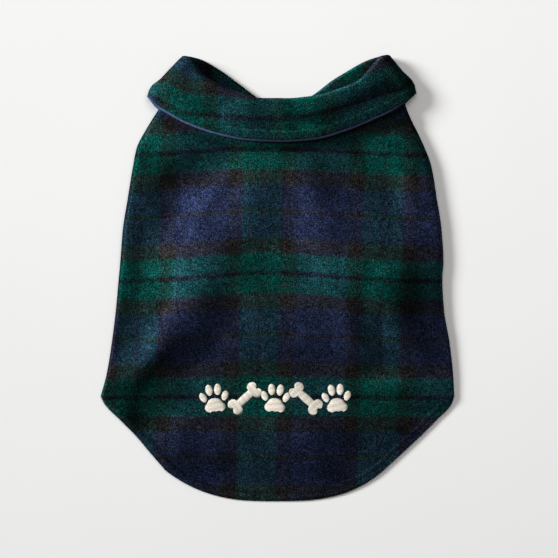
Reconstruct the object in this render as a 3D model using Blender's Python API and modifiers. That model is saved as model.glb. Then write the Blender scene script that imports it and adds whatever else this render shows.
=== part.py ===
"""A pet pajama top in brushed plaid, laid on its belly with the back upwards.

Four sewn pieces, each a closed solid: the back panel, which turns under along both sides, the belly panel
between the side seams, the turn-down collar, a folded band sewn round the neck, and the piping in its edge.
+Y points to the collar, +X to the right as seen from above, +Z up from the surface it lies on.
Tables and sizes are in millimetres, and the meshes in metres.
"""

import math

import bmesh
import bpy

MM = 0.001

# Cloth
CLOTH = 2.0
HEM_CLOTH = 3.0
HEM_WIDTH = 9.0
HEM_STEP = 2.5
SEAM_GAP = 0.3

# Collar: two plies of cloth, folded at the roll into a stand and a fall
BAND = 2.6
PIPING = 2.8
NEAR_ROLL = 2.3
FAR_ROLL = 1.9
STAND_HEIGHT = 13.0
EDGE_HEIGHT = 16.0
EDGE_DROP = 2.0
FALL_BULGE = 1.2
PANEL_LIFT = 3.3
LIFT_RUN = 14.0
LIFT_LEAD = 3.0

# Armholes, oval, through the layer beneath
ARMHOLE_X = 100.0
ARMHOLE_Y = 78.0
ARMHOLE_WIDE = 44.0
ARMHOLE_LONG = 62.0
ARMHOLE_CUT = (-5.0, 4.0)

# Shape of the rows across
CROWN_POWER = 2.4
NECK_POWER = 2.2
TAIL_POWER = 2.8
TAIL_REST = 2.3
TAIL_SETTLE = 14.0
RELIEF_EDGE_POWER = 8
RELIEF_NECK = (150.0, 100.0)
FOLD_SOFTNESS = 1.4
HEM_RAISE = 0.75

# Mesh density: segments between rows and between columns
TOP_SEGMENTS = 24
FOLD_SEGMENTS = 6
TURN_SEGMENTS = 4
BELLY_SEGMENTS = 14
BODY_SEGMENTS = 22
TAIL_SEGMENTS = 8
STAND_SEGMENTS = 3
ROLL_SEGMENTS = 4
FALL_SEGMENTS = 5
ARMHOLE_SEGMENTS = 28
HEM_SEGMENTS = 24

# Rows of the body. fold_y: where the row meets the side folds. left_x, right_x: the folds. near_dip, far_dip:
# how far the middle of the row lies below fold_y, on top and beneath. height: of the back panel's outer face at
# the middle. roll: outer radius of the side fold. turn: width of the back panel's part that lies beneath.
BODY_COLUMNS = ("fold_y", "left_x", "right_x", "near_dip", "far_dip", "height", "roll", "turn")
BODY_ROWS = (
    (-112.0, -167.8, 167.8, 0.0, -25.0, 5.6, 2.4, 28.0),
    (-91.2, -162.2, 165.4, 0.0, -18.0, 7.0, 2.8, 31.0),
    (-60.8, -157.2, 161.6, 0.0, -9.0, 8.8, 3.3, 35.0),
    (-30.4, -153.4, 158.0, 0.0, -3.0, 10.2, 3.8, 39.0),
    (0.0, -150.6, 156.3, 0.0, 0.0, 11.4, 4.2, 42.0),
    (45.6, -146.8, 155.0, 0.0, 0.0, 12.8, 4.6, 45.0),
    (76.0, -142.0, 150.6, 2.0, 3.0, 13.4, 4.7, 46.0),
    (106.4, -137.0, 145.8, 8.0, 10.0, 13.8, 4.7, 46.0),
    (123.5, -133.5, 139.6, 14.5, 18.0, 14.0, 4.7, 44.0),
    (138.7, -125.9, 132.5, 21.0, 26.0, 14.0, 4.7, 40.0),
    (153.9, -116.4, 124.9, 27.0, 33.0, 14.0, 4.7, 36.0),
    (164.0, -110.0, 121.0, 31.0, 37.5, 14.0, 4.7, 33.0),
    (184.0, -101.0, 115.0, 40.0, 49.0, 14.0, 4.8, 28.0),
)

# Rows of the tail, below the corners: one layer, whose ends are its hem.
TAIL_COLUMNS = ("fold_y", "left_x", "right_x", "near_dip", "height")
TAIL_ROWS = (
    (-182.4, -105.9, 100.2, 29.4, 2.3),
    (-167.2, -119.2, 116.4, 22.0, 2.5),
    (-152.0, -131.6, 133.5, 15.0, 2.9),
    (-136.8, -146.8, 148.7, 9.0, 3.6),
    (-121.6, -161.0, 162.6, 3.6, 4.8),
    (-112.0, -167.8, 167.8, 0.0, 5.6),
)

# Collar, by the fraction across from the left fold (-1) to the right one (1): outer edge of the roll and of
# the piping, on top (near) and beneath (far).
COLLAR_COLUMNS = ("across", "near_roll", "far_roll", "near_edge", "far_edge")
COLLAR_STATIONS = (
    (-1.0, 209.1, 210.9, 161.8, 161.8),
    (-0.9, 193.3, 207.6, 154.2, 152.0),
    (-0.75, 185.6, 200.8, 144.8, 140.5),
    (-0.5, 176.8, 185.0, 134.9, 128.0),
    (-0.25, 171.8, 169.6, 130.3, 121.5),
    (0.0, 171.0, 163.4, 129.6, 120.0),
    (0.25, 173.0, 172.8, 131.8, 122.5),
    (0.5, 178.8, 189.6, 139.5, 131.0),
    (0.75, 187.2, 202.6, 151.8, 146.5),
    (0.9, 200.4, 208.2, 160.0, 157.5),
    (1.0, 210.0, 211.2, 166.8, 166.8),
)
# The collar's side folds: how far out the middle of the band lies at the stand's top and at the fall's edge,
# how far the fall's edge rises round its folds, and which way the bands face there.
STAND_LEFT_X = -88.0
STAND_RIGHT_X = 103.6
EDGE_LEFT_X = -121.8
EDGE_RIGHT_X = 128.7
EDGE_TIP_RISE = 7.3
LEFT_OUTWARD = (-0.80, 0.60)
RIGHT_OUTWARD = (0.85, 0.527)

# Soft ridges and troughs of the back panel: a line from its start to its end, half as wide as given.
FOLD_COLUMNS = ("name", "x0", "y0", "x1", "y1", "half_width", "height")
SOFT_FOLDS = (
    ("left chest swell", -66.0, 104.0, -60.0, 22.0, 36.0, 1.5),
    ("right swell", 66.0, 60.0, 64.0, -66.0, 32.0, 1.1),
    ("left hip roll", -114.0, -42.0, -114.0, -104.0, 11.0, 1.7),
    ("left waist hollow", -80.0, -28.0, -86.0, -70.0, 15.0, -1.5),
    ("left hip crease", -98.0, -70.0, -136.0, -132.0, 8.0, -1.4),
    ("right waist crease", 124.0, 18.0, 127.0, -54.0, 8.0, -1.6),
    ("tail swell", 18.0, -128.0, 26.0, -172.0, 26.0, 0.8),
)


def smooth_through(pairs):
    """A function through (x, y) pairs with x rising: a cubic that never overshoots its points."""
    xs = [pair[0] for pair in pairs]
    ys = [pair[1] for pair in pairs]
    last = len(xs) - 1
    rise = [(ys[i + 1] - ys[i]) / (xs[i + 1] - xs[i]) for i in range(last)]
    slope = [rise[0]]
    for before, after in zip(rise, rise[1:]):
        same_way = before * after > 0.0
        slope.append(2.0 * before * after / (before + after) if same_way else 0.0)
    slope.append(rise[-1])

    def value(x):
        x = min(max(x, xs[0]), xs[-1])
        i = 0
        while i < last - 1 and x > xs[i + 1]:
            i += 1
        run = xs[i + 1] - xs[i]
        t = (x - xs[i]) / run
        start = (1.0 + 2.0 * t) * (1.0 - t) ** 2 * ys[i] + t * (1.0 - t) ** 2 * run * slope[i]
        end = t * t * (3.0 - 2.0 * t) * ys[i + 1] + t * t * (t - 1.0) * run * slope[i + 1]
        return start + end

    return value


def columns_of(names, rows):
    """One function of the first column for each other column of a table."""
    functions = {}
    for i, name in enumerate(names[1:], start=1):
        functions[name] = smooth_through([(row[0], row[i]) for row in rows])
    return functions


def mix(a, b, t):
    return a + (b - a) * t


def smoothstep(t):
    t = min(max(t, 0.0), 1.0)
    return t * t * (3.0 - 2.0 * t)


BODY = columns_of(BODY_COLUMNS, BODY_ROWS)
TAIL = columns_of(TAIL_COLUMNS, TAIL_ROWS)
COLLAR = columns_of(COLLAR_COLUMNS, COLLAR_STATIONS)
CORNER_Y = BODY_ROWS[0][0]
NECK_Y = BODY_ROWS[-1][0]
TAIL_Y = TAIL_ROWS[0][0]


# The garment's outer face

def far_edge_y(x):
    """Outer edge of the collar's part beneath, at this x."""
    across = 2.0 * (x - EDGE_LEFT_X) / (EDGE_RIGHT_X - EDGE_LEFT_X) - 1.0
    return COLLAR["far_edge"](across)


def underside(x, y):
    """Height of the lower face: on the surface, or lifted where the collar lies beneath."""
    past_edge = y - far_edge_y(x) + LIFT_RUN + LIFT_LEAD
    return PANEL_LIFT * smoothstep(past_edge / LIFT_RUN)


def distance_to_line(x, y, x0, y0, x1, y1):
    length_squared = (x1 - x0) ** 2 + (y1 - y0) ** 2
    t = ((x - x0) * (x1 - x0) + (y - y0) * (y1 - y0)) / length_squared
    t = min(max(t, 0.0), 1.0)
    return math.hypot(x - mix(x0, x1, t), y - mix(y0, y1, t))


def relief(x, y, across):
    """Soft folds of the back panel, fading out at the side folds and below the collar."""
    total = 0.0
    for _name, x0, y0, x1, y1, half_width, height in SOFT_FOLDS:
        off = distance_to_line(x, y, x0, y0, x1, y1) / half_width
        total += height * math.exp(-FOLD_SOFTNESS * off * off)
    beside = 1.0 - abs(across) ** RELIEF_EDGE_POWER
    start, end = RELIEF_NECK
    return total * beside * smoothstep((start - y) / (start - end))


def row_y(fold_y, across, dip):
    power = NECK_POWER if fold_y > CORNER_Y else TAIL_POWER
    return fold_y - dip * (1.0 - abs(across) ** power)


def hem_line():
    """The hem's outline from the left corner round the tail to the right corner."""
    sides = [mix(CORNER_Y, TAIL_Y, i / HEM_SEGMENTS) for i in range(HEM_SEGMENTS)]
    left = [(TAIL["left_x"](y), y) for y in sides]
    right = [(TAIL["right_x"](y), y) for y in reversed(sides)]
    dip = TAIL["near_dip"](TAIL_Y)
    end_left = TAIL["left_x"](TAIL_Y)
    end_right = TAIL["right_x"](TAIL_Y)
    bottom = []
    for i in range(HEM_SEGMENTS + 1):
        t = i / HEM_SEGMENTS
        bottom.append((mix(end_left, end_right, t), row_y(TAIL_Y, 2.0 * t - 1.0, dip)))
    return left + bottom + right


HEM = hem_line()


def hem_weight(x, y):
    """1 on the turned-up hem, 0 on the single cloth, with a short step between."""
    if y > CORNER_Y + HEM_WIDTH:
        return 0.0
    nearest = min(distance_to_line(x, y, *a, *b) for a, b in zip(HEM, HEM[1:]))
    return 1.0 - smoothstep((nearest - HEM_WIDTH) / HEM_STEP)


def body_point(fold_y, across, around):
    """A point of the outer face. across: -1 to 1 between the side folds; around: 0 on top to pi beneath."""
    left_x = BODY["left_x"](fold_y)
    right_x = BODY["right_x"](fold_y)
    roll = BODY["roll"](fold_y)
    x = mix(left_x + roll, right_x - roll, (across + 1.0) / 2.0)
    dip = mix(BODY["near_dip"](fold_y), BODY["far_dip"](fold_y), around / math.pi)
    y = row_y(fold_y, across, dip)
    if around == math.pi:
        return x, y, underside(x, y)
    rest = mix(underside(left_x + roll, fold_y), underside(right_x - roll, fold_y), (across + 1.0) / 2.0)
    if around > 0.0:
        x += across * roll * math.sin(around)
        return x, fold_y, rest + roll * (1.0 + math.cos(around))
    side = rest + 2.0 * roll
    crown = 1.0 - abs(across) ** CROWN_POWER
    return x, y, mix(side, BODY["height"](fold_y), crown) + relief(x, y, across)


def tail_point(fold_y, across, around):
    """A point of the tail's outer face, which leaves the corner row and settles on the surface."""
    left_x = TAIL["left_x"](fold_y)
    right_x = TAIL["right_x"](fold_y)
    settled = smoothstep((CORNER_Y - fold_y) / TAIL_SETTLE)
    roll = BODY["roll"](CORNER_Y)
    x = mix(left_x + roll, right_x - roll, (across + 1.0) / 2.0) + across * roll * math.sin(around)
    y = row_y(fold_y, across, TAIL["near_dip"](fold_y))
    side = mix(roll * (1.0 + math.cos(around)), TAIL_REST, settled)
    crown = 1.0 - abs(across) ** CROWN_POWER
    z = mix(side, TAIL["height"](fold_y), crown) + relief(x, y, across)
    raised = HEM_RAISE * hem_weight(x, y) * settled
    return x, y, max(z, TAIL_REST) + raised if settled == 1.0 else z + raised


# Columns round the garment, as (across, around) for a row

def steps(count):
    return [i / count for i in range(count + 1)]


def turn_share(fold_y):
    """Width of the turned-under part, as a share of the half width."""
    half_width = (BODY["right_x"](fold_y) - BODY["left_x"](fold_y)) / 2.0 - BODY["roll"](fold_y)
    return BODY["turn"](fold_y) / half_width


def back_columns(fold_y):
    share = turn_share(fold_y)
    turn = [(1.0 - share * t, math.pi) for t in steps(TURN_SEGMENTS)]
    fold = [(1.0, math.pi * t) for t in steps(FOLD_SEGMENTS)[1:-1]]
    top = [(2.0 * t - 1.0, 0.0) for t in steps(TOP_SEGMENTS)]
    left = [(-across, around) for across, around in reversed(fold + turn)]
    return left + top + fold + turn


def belly_columns(fold_y):
    """From the right side seam to the left one, a gap inside the back panel's edges."""
    half_width = (BODY["right_x"](fold_y) - BODY["left_x"](fold_y)) / 2.0 - BODY["roll"](fold_y)
    reach = 1.0 - turn_share(fold_y) - SEAM_GAP / half_width
    return [(mix(reach, -reach, t), math.pi) for t in steps(BELLY_SEGMENTS)]


def neck_columns():
    """All round the neck: the back panel's columns, then the belly panel's inner ones."""
    return back_columns(NECK_Y) + belly_columns(NECK_Y)[1:-1]


# Building

def clear_scene():
    for obj in list(bpy.data.objects):
        bpy.data.objects.remove(obj, do_unlink=True)


def collection(name):
    made = bpy.data.collections.new(name)
    bpy.context.scene.collection.children.link(made)
    return made


def material(name, colour, roughness, sheen=0.0):
    made = bpy.data.materials.new(name)
    made.use_nodes = True
    shader = made.node_tree.nodes["Principled BSDF"]
    shader.inputs["Base Color"].default_value = (*colour, 1.0)
    shader.inputs["Roughness"].default_value = roughness
    shader.inputs["Metallic"].default_value = 0.0
    shader.inputs["Sheen Weight"].default_value = sheen
    return made


def sheet(name, rows, target, closed=False):
    """An open grid of quads from rows of points, where None stands for no point. Its faces point outwards."""
    shape = bmesh.new()
    grid = [[p and shape.verts.new([c * MM for c in p]) for p in row] for row in rows]
    for upper, lower in zip(grid, grid[1:]):
        count = len(upper)
        for j in range(count if closed else count - 1):
            k = (j + 1) % count
            corners = (upper[j], lower[j], lower[k], upper[k])
            if all(corners):
                shape.faces.new(corners)
    mesh = bpy.data.meshes.new(name)
    shape.to_mesh(mesh)
    shape.free()
    obj = bpy.data.objects.new(name, mesh)
    target.objects.link(obj)
    return obj


def thicken(obj, thickness, offset):
    wall = obj.modifiers.new("cloth wall", "SOLIDIFY")
    wall.thickness = thickness * MM
    wall.offset = offset
    wall.use_even_offset = True
    wall.use_quality_normals = True
    return wall


def finish(obj, look):
    obj.data.materials.append(look)
    obj.data.shade_smooth()
    obj.data.set_sharp_from_angle(angle=math.radians(50.0))


def back_panel(target, look):
    rows = []
    first_tail = TURN_SEGMENTS + FOLD_SEGMENTS // 2
    for t in steps(BODY_SEGMENTS):
        fold_y = mix(NECK_Y, CORNER_Y, t)
        rows.append([body_point(fold_y, *column) for column in back_columns(fold_y)])
    for t in steps(TAIL_SEGMENTS)[1:]:
        fold_y = mix(CORNER_Y, TAIL_Y, t)
        inner = back_columns(CORNER_Y)[first_tail:-first_tail]
        none = [None] * first_tail
        rows.append(none + [tail_point(fold_y, *column) for column in inner] + none)
    obj = sheet("back_panel", rows, target)
    wall = thicken(obj, HEM_CLOTH, -1.0)
    hem = obj.vertex_groups.new(name="hem")
    for vertex in obj.data.vertices:
        x, y = vertex.co.x / MM, vertex.co.y / MM
        hem.add([vertex.index], hem_weight(x, y) if y < CORNER_Y else 0.0, "REPLACE")
    wall.vertex_group = hem.name
    wall.thickness_vertex_group = CLOTH / HEM_CLOTH
    finish(obj, look)
    return obj


def belly_panel(target, look):
    rows = []
    for t in steps(BODY_SEGMENTS):
        fold_y = mix(NECK_Y, CORNER_Y, t)
        rows.append([body_point(fold_y, *column) for column in belly_columns(fold_y)])
    obj = sheet("belly_panel", rows, target)
    thicken(obj, CLOTH, -1.0)
    finish(obj, look)
    return obj


def armhole_cutter(side, target):
    shape = bmesh.new()
    low, high = ARMHOLE_CUT
    bmesh.ops.create_cone(shape, cap_ends=True, segments=ARMHOLE_SEGMENTS, radius1=0.5, radius2=0.5, depth=1.0)
    size = (ARMHOLE_WIDE * MM, ARMHOLE_LONG * MM, (high - low) * MM)
    bmesh.ops.scale(shape, vec=size, verts=shape.verts)
    name = "cut_left_armhole" if side < 0 else "cut_right_armhole"
    mesh = bpy.data.meshes.new(name)
    shape.to_mesh(mesh)
    shape.free()
    cutter = bpy.data.objects.new(name, mesh)
    cutter.location = (side * ARMHOLE_X * MM, ARMHOLE_Y * MM, (low + high) / 2.0 * MM)
    cutter.hide_render = True
    cutter.display_type = "WIRE"
    target.objects.link(cutter)
    return cutter


def cut(obj, cutter):
    hole = obj.modifiers.new(cutter.name, "BOOLEAN")
    hole.operation = "DIFFERENCE"
    hole.solver = "EXACT"
    hole.object = cutter


# The collar, from three rings round the neck: seam, top of the stand, edge of the fall

def outward(across, around):
    """Which way the band faces: up on top, sideways at the side folds, down beneath."""
    side = LEFT_OUTWARD if across < 0.0 else RIGHT_OUTWARD
    spread = math.sin(around)
    return side[0] * spread, side[1] * spread, math.cos(around)


def ring_point(across, around, left_x, right_x, near_y, far_y, near_z, far_z, rise=0.0):
    """A point of a ring through both side folds. The folds are half circles as high as the ring."""
    bend = (near_z - far_z) / 2.0
    x = mix(left_x + bend, right_x - bend, (across + 1.0) / 2.0)
    y = mix(near_y(across), far_y(across), around / math.pi)
    if abs(across) == 1.0:
        x += across * bend * math.sin(around)
        y += rise * math.sin(around)
    return x, y, (near_z + far_z) / 2.0 + bend * math.cos(around)


def seam_point(across, around):
    x, y, z = body_point(NECK_Y, across, around)
    inset = -CLOTH / 2.0
    flat = across * math.sin(around) if abs(across) == 1.0 else 0.0
    return x + inset * flat, y + SEAM_GAP, z + inset * math.cos(around)


def stand_point(across, around):
    roll = mix(NEAR_ROLL, FAR_ROLL, around / math.pi)
    inset = roll + BAND / 2.0
    far_z = BAND / 2.0 + 2.0 * FAR_ROLL
    return ring_point(
        across, around, STAND_LEFT_X, STAND_RIGHT_X,
        lambda a: COLLAR["near_roll"](a) - inset,
        lambda a: COLLAR["far_roll"](a) - inset,
        STAND_HEIGHT, far_z,
    )


def edge_point(across, around):
    inset = PIPING + SEAM_GAP
    return ring_point(
        across, around, EDGE_LEFT_X, EDGE_RIGHT_X,
        lambda a: COLLAR["near_edge"](a) + inset,
        lambda a: COLLAR["far_edge"](a) + inset,
        EDGE_HEIGHT - EDGE_DROP * abs(across) ** 3, PIPING / 2.0, EDGE_TIP_RISE,
    )


def along(a, b, t):
    return tuple(mix(p, q, t) for p, q in zip(a, b))


def moved(point, direction, distance):
    return tuple(p + d * distance for p, d in zip(point, direction))


def unit(vector):
    length = math.sqrt(sum(c * c for c in vector))
    return tuple(c / length for c in vector)


def band_section(across, around):
    """Middle of the band from the neck seam up the stand, over the roll and down the fall."""
    seam = seam_point(across, around)
    top = stand_point(across, around)
    edge = edge_point(across, around)
    facing = outward(across, around)
    upwards = [q - p for p, q in zip(seam, top)]
    off = sum(u * f for u, f in zip(upwards, facing))
    climb = unit([u - off * f for u, f in zip(upwards, facing)])
    roll = mix(NEAR_ROLL, FAR_ROLL, around / math.pi)
    centre = moved(top, facing, roll)
    points = [along(seam, top, t) for t in steps(STAND_SEGMENTS)]
    for t in steps(ROLL_SEGMENTS)[1:]:
        angle = math.pi * t
        low = moved(centre, facing, -roll * math.cos(angle))
        points.append(moved(low, climb, roll * math.sin(angle)))
    fall = points[-1]
    bulge = FALL_BULGE * min(1.0, 1.0 + math.cos(around))
    for t in steps(FALL_SEGMENTS)[1:]:
        points.append(moved(along(fall, edge, t), facing, bulge * math.sin(math.pi * t)))
    return points


def collar(target, look):
    sections = [band_section(*column) for column in neck_columns()]
    rows = [list(row) for row in zip(*sections)]
    obj = sheet("collar", rows, target, closed=True)
    thicken(obj, BAND, 0.0)
    finish(obj, look)
    return obj


def collar_piping(target, look):
    """A round piping a seam's gap outside the fall's edge, all round."""
    path = bpy.data.curves.new("collar_piping", "CURVE")
    path.dimensions = "3D"
    path.bevel_depth = PIPING / 2.0 * MM
    path.bevel_resolution = 2
    points = []
    for column in neck_columns():
        section = band_section(*column)
        down = unit([q - p for p, q in zip(section[-2], section[-1])])
        points.append(moved(section[-1], (down[0], down[1], 0.0), PIPING / 2.0 + SEAM_GAP))
    spline = path.splines.new("POLY")
    spline.points.add(len(points) - 1)
    for point, place in zip(spline.points, points):
        point.co = (*(c * MM for c in place), 1.0)
    spline.use_cyclic_u = True
    obj = bpy.data.objects.new("collar_piping", path)
    target.objects.link(obj)
    path.materials.append(look)
    return obj


def main():
    clear_scene()
    garment = collection("pet_pajama_top")
    cutters = collection("cutters")
    cutters.hide_render = True
    plaid = material("brushed plaid, back", (0.012, 0.028, 0.038), 0.92, 0.25)
    belly_plaid = material("brushed plaid, belly", (0.012, 0.026, 0.034), 0.92, 0.25)
    collar_plaid = material("brushed plaid, collar", (0.012, 0.034, 0.036), 0.92, 0.25)
    satin = material("blue satin piping", (0.055, 0.075, 0.27), 0.38)
    back = back_panel(garment, plaid)
    belly = belly_panel(garment, belly_plaid)
    for side in (-1, 1):
        cutter = armhole_cutter(side, cutters)
        cut(back, cutter)
        cut(belly, cutter)
    collar(garment, collar_plaid)
    collar_piping(garment, satin)


main()
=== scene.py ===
"""The looks of the pet pajama top: brushed plaid cloth, satin piping, sewing and a stitched ornament.

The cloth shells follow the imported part's formulas on a finer grid. Their tables lie within about 3 mm of the
part's, closer to the photo's outline, and the soft creases of the cloth as it lies are added. Tables and sizes
are in millimetres and the meshes in metres; +Z is up from the surface.
"""

import math

import bpy
import numpy as np
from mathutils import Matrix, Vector
from mathutils.bvhtree import BVHTree


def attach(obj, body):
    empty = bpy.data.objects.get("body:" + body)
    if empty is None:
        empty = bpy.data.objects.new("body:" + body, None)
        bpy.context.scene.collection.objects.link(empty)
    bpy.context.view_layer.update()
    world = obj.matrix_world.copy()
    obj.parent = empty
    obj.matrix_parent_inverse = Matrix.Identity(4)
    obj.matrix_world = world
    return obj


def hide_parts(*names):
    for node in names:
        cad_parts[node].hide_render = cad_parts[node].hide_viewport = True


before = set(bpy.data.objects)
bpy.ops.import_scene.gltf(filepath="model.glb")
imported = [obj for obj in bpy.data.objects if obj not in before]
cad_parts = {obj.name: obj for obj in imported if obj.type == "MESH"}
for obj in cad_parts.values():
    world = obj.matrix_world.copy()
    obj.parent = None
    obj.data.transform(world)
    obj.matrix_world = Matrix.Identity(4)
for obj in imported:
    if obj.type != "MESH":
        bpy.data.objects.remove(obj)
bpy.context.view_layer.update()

MM = 0.001
PI = math.pi

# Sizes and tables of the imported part, some of them moved by up to about 3 mm to follow the photo's outline
CLOTH = 2.0
HEM_CLOTH = 3.0
HEM_WIDTH = 9.0
HEM_STEP = 2.5
HEM_RAISE = 0.4
SEAM_GAP = 0.3
BAND = 2.6
PIPING = 2.8
NEAR_ROLL = 2.3
FAR_ROLL = 1.9
STAND_HEIGHT = 13.0
EDGE_HEIGHT = 16.0
EDGE_DROP = 2.0
FALL_BULGE = 1.2
CORNER_BULGES = (2.6, 3.2)
CORNER_PLACES = (0.82, 0.74)
CORNER_WIDTHS = (0.16, 0.24)
PANEL_LIFT = 3.3
LIFT_RUN = 14.0
LIFT_LEAD = 3.0
ARMHOLE = (100.0, 78.0)  # middle of the right one; the left one mirrors it
ARMHOLE_RADII = (22.0, 31.0)
CROWN_POWER = 2.4
NECK_POWER = 2.2
TAIL_POWERS = (2.8, 3.05)
TAIL_FOLD_RISE = 0.85
TAIL_REST = 2.3
TAIL_SETTLE = 14.0
BODY_COLUMNS = ("fold_y", "left_x", "right_x", "near_dip", "far_dip", "height", "roll", "turn")
BODY_ROWS = (
    (-112, -167.8, 167.8, 0, -25, 5.6, 2.4, 28),
    (-91.2, -162.2, 166.6, 0, -18, 7, 2.8, 31),
    (-60.8, -157.2, 163.2, 0, -9, 8.8, 3.3, 35),
    (-30.4, -153.4, 158, 0, -3, 10.2, 3.8, 39),
    (0, -150.6, 156.3, 0, 0, 11.4, 4.2, 42),
    (15, -149.2, 157.4, 0, 0, 12, 4.4, 43.5),
    (45.6, -146.8, 155.6, 0, 0, 12.8, 4.6, 45),
    (76, -142, 151, 2, 3, 13.4, 4.7, 46),
    (106.4, -137, 145.8, 8, 10, 13.8, 4.7, 46),
    (123.5, -133.5, 139.6, 14.5, 18, 14, 4.7, 44),
    (138.7, -125.9, 132.5, 21, 26, 14, 4.7, 40),
    (153.9, -116.4, 124.9, 27, 33, 14, 4.7, 36),
    (164, -110, 121, 31, 37.5, 14, 4.7, 33),
    (184, -101, 115, 40, 49, 14, 4.8, 28),
)
TAIL_COLUMNS = ("fold_y", "left_x", "right_x", "near_dip", "height")
TAIL_ROWS = (
    (-184.4, -106.6, 100.8, 27.1, 2.3),
    (-167.2, -121.6, 119.5, 22, 2.5),
    (-152, -134.4, 135.7, 15, 2.9),
    (-136.8, -149.5, 150.9, 9, 3.6),
    (-121.6, -164, 165, 3.6, 4.8),
    (-112, -167.8, 167.8, 0, 5.6),
)
COLLAR_COLUMNS = ("across", "near_roll", "far_roll", "near_edge", "far_edge")
COLLAR_STATIONS = (
    (-1, 208.4, 210, 161.8, 161.8),
    (-0.9, 193.3, 207.4, 154.2, 152),
    (-0.75, 185.4, 200.3, 144.4, 140.1),
    (-0.5, 175.9, 184, 134.1, 127.2),
    (-0.25, 170.3, 168.4, 128.6, 119.8),
    (0, 169.8, 162.2, 127.4, 117.8),
    (0.25, 171.6, 171.6, 129.4, 120.6),
    (0.5, 177.6, 188, 137.4, 129.9),
    (0.75, 186.6, 201.7, 149.7, 145),
    (0.9, 200, 207.9, 158.2, 156.3),
    (1, 209.6, 210.8, 165, 165),
)
STAND_LEFT_X = -86.6
STAND_RIGHT_X = 102.8
EDGE_LEFT_X = -121.8
EDGE_RIGHT_X = 129.8
EDGE_TIP_RISES = (7.3, 6.0)
LEFT_OUTWARD = (-0.80, 0.60)
RIGHT_OUTWARD = (0.85, 0.527)

# Creases of the back, from top to bottom, so that the side towards the light is on the right of the way along:
# x, y, width on the lit side, width on the far side, height (a trough is below 0).
CREASES = {
    "chest ridge": (
        (-24.2, 104.5, 14, 40, 1.5), (-50.8, 81.7, 15, 56, 2.5), (-69.8, 53.2, 16, 56, 2.9),
        (-80.3, 20.9, 16, 46, 2.9), (-91.7, -20.9, 15, 24, 2.6), (-106.9, -54.2, 13, 16, 2.4),
        (-127.8, -85.5, 12, 13, 2), (-147.7, -108.3, 9, 11, 0.7),
    ),
    "left flank hollow": ((-118, 112, 14, 16, -0.9), (-128, 45.6, 14, 16, -1.1), (-130.6, -11.4, 12, 14, -0.8)),
    "left hip crease": (
        (-50, -18, 14, 20, -0.9), (-62.2, -47.5, 13, 22, -1.5), (-83.1, -68.4, 12, 22, -1.9),
        (-106.9, -84, 10, 20, -1.9), (-123, -103, 9, 16, -1.7), (-134.4, -124, 8, 12, -0.9),
    ),
    "middle valley": ((-5.2, 110, 14, 14, -0.5), (-3.3, 36, 14, 14, -0.6)),
    "right swell": (
        (32.8, 112, 15, 14, 1.3), (36.6, 74, 16, 18, 1.7), (46.1, 36, 18, 26, 1.6), (57.5, 3, 18, 20, 1.4),
        (66, -40, 12, 12, 1), (66, -70, 12, 14, 0.4),
    ),
    "right chest rise": ((106, 124, 16, 12, 0.9), (127, 79, 18, 9, 1.2), (129, 36, 16, 9, 0.7)),
    "right waist ridge": (
        (102, 34, 14, 22, 0.7), (105.5, -12, 11, 22, 1.6), (108.8, -54, 9, 16, 1.3), (112, -76, 9, 14, 0.5),
    ),
    "right waist hollow": ((137, 16, 12, 10, -0.9), (140, -30, 13, 9, -1.2), (142, -62, 12, 9, -0.5)),
    "right waist valley": ((83, -10, 8, 8, -0.5), (85, -62, 9, 9, -0.8)),
    "right hip ridge": ((156, -107, 9, 9, 0.6), (106.9, -104.5, 10, 9, 0.9), (66, -107, 9, 9, 0.4)),
    "tail left ridge": ((-96.4, -127, 13, 18, 0.9), (-81.2, -170, 12, 20, 0.7)),
    "tail middle swell": ((20, -132, 22, 26, 0.6), (24, -176, 22, 26, 0.7)),
    "tail right hollow": ((68, -128, 12, 16, -0.5), (60, -172, 12, 16, -0.4)),
    "crease under the collar": ((46, 136, 5, 6, -0.5), (70, 121, 5, 6, -1), (98, 114, 5, 7, -0.4)),
    "left neck pucker": ((-92, 142, 5, 6, -0.5), (-74, 118, 6, 7, -0.6)),
}
PATH_STEP = 3.0
PATH_SOFTNESS = 6.0
RELIEF_EDGE_POWER = 8
RELIEF_NECK = (150.0, 100.0)  # the creases rise from nothing at the first y to their whole height at the second

# Painted light by slope: the first value points away from the light. Slopes facing against it, towards the light
# from the left, are painted lighter and those facing along it darker. It fades where the cloth faces away from
# above, over the last share of its upward normal set below.
AWAY_FROM_LIGHT = (0.97, -0.24)
SLOPE_LIGHT_GAIN = 3.6
SLOPE_LIGHT_LIMIT = 0.30
SLOPE_LIGHT_TURN = 0.6
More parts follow.
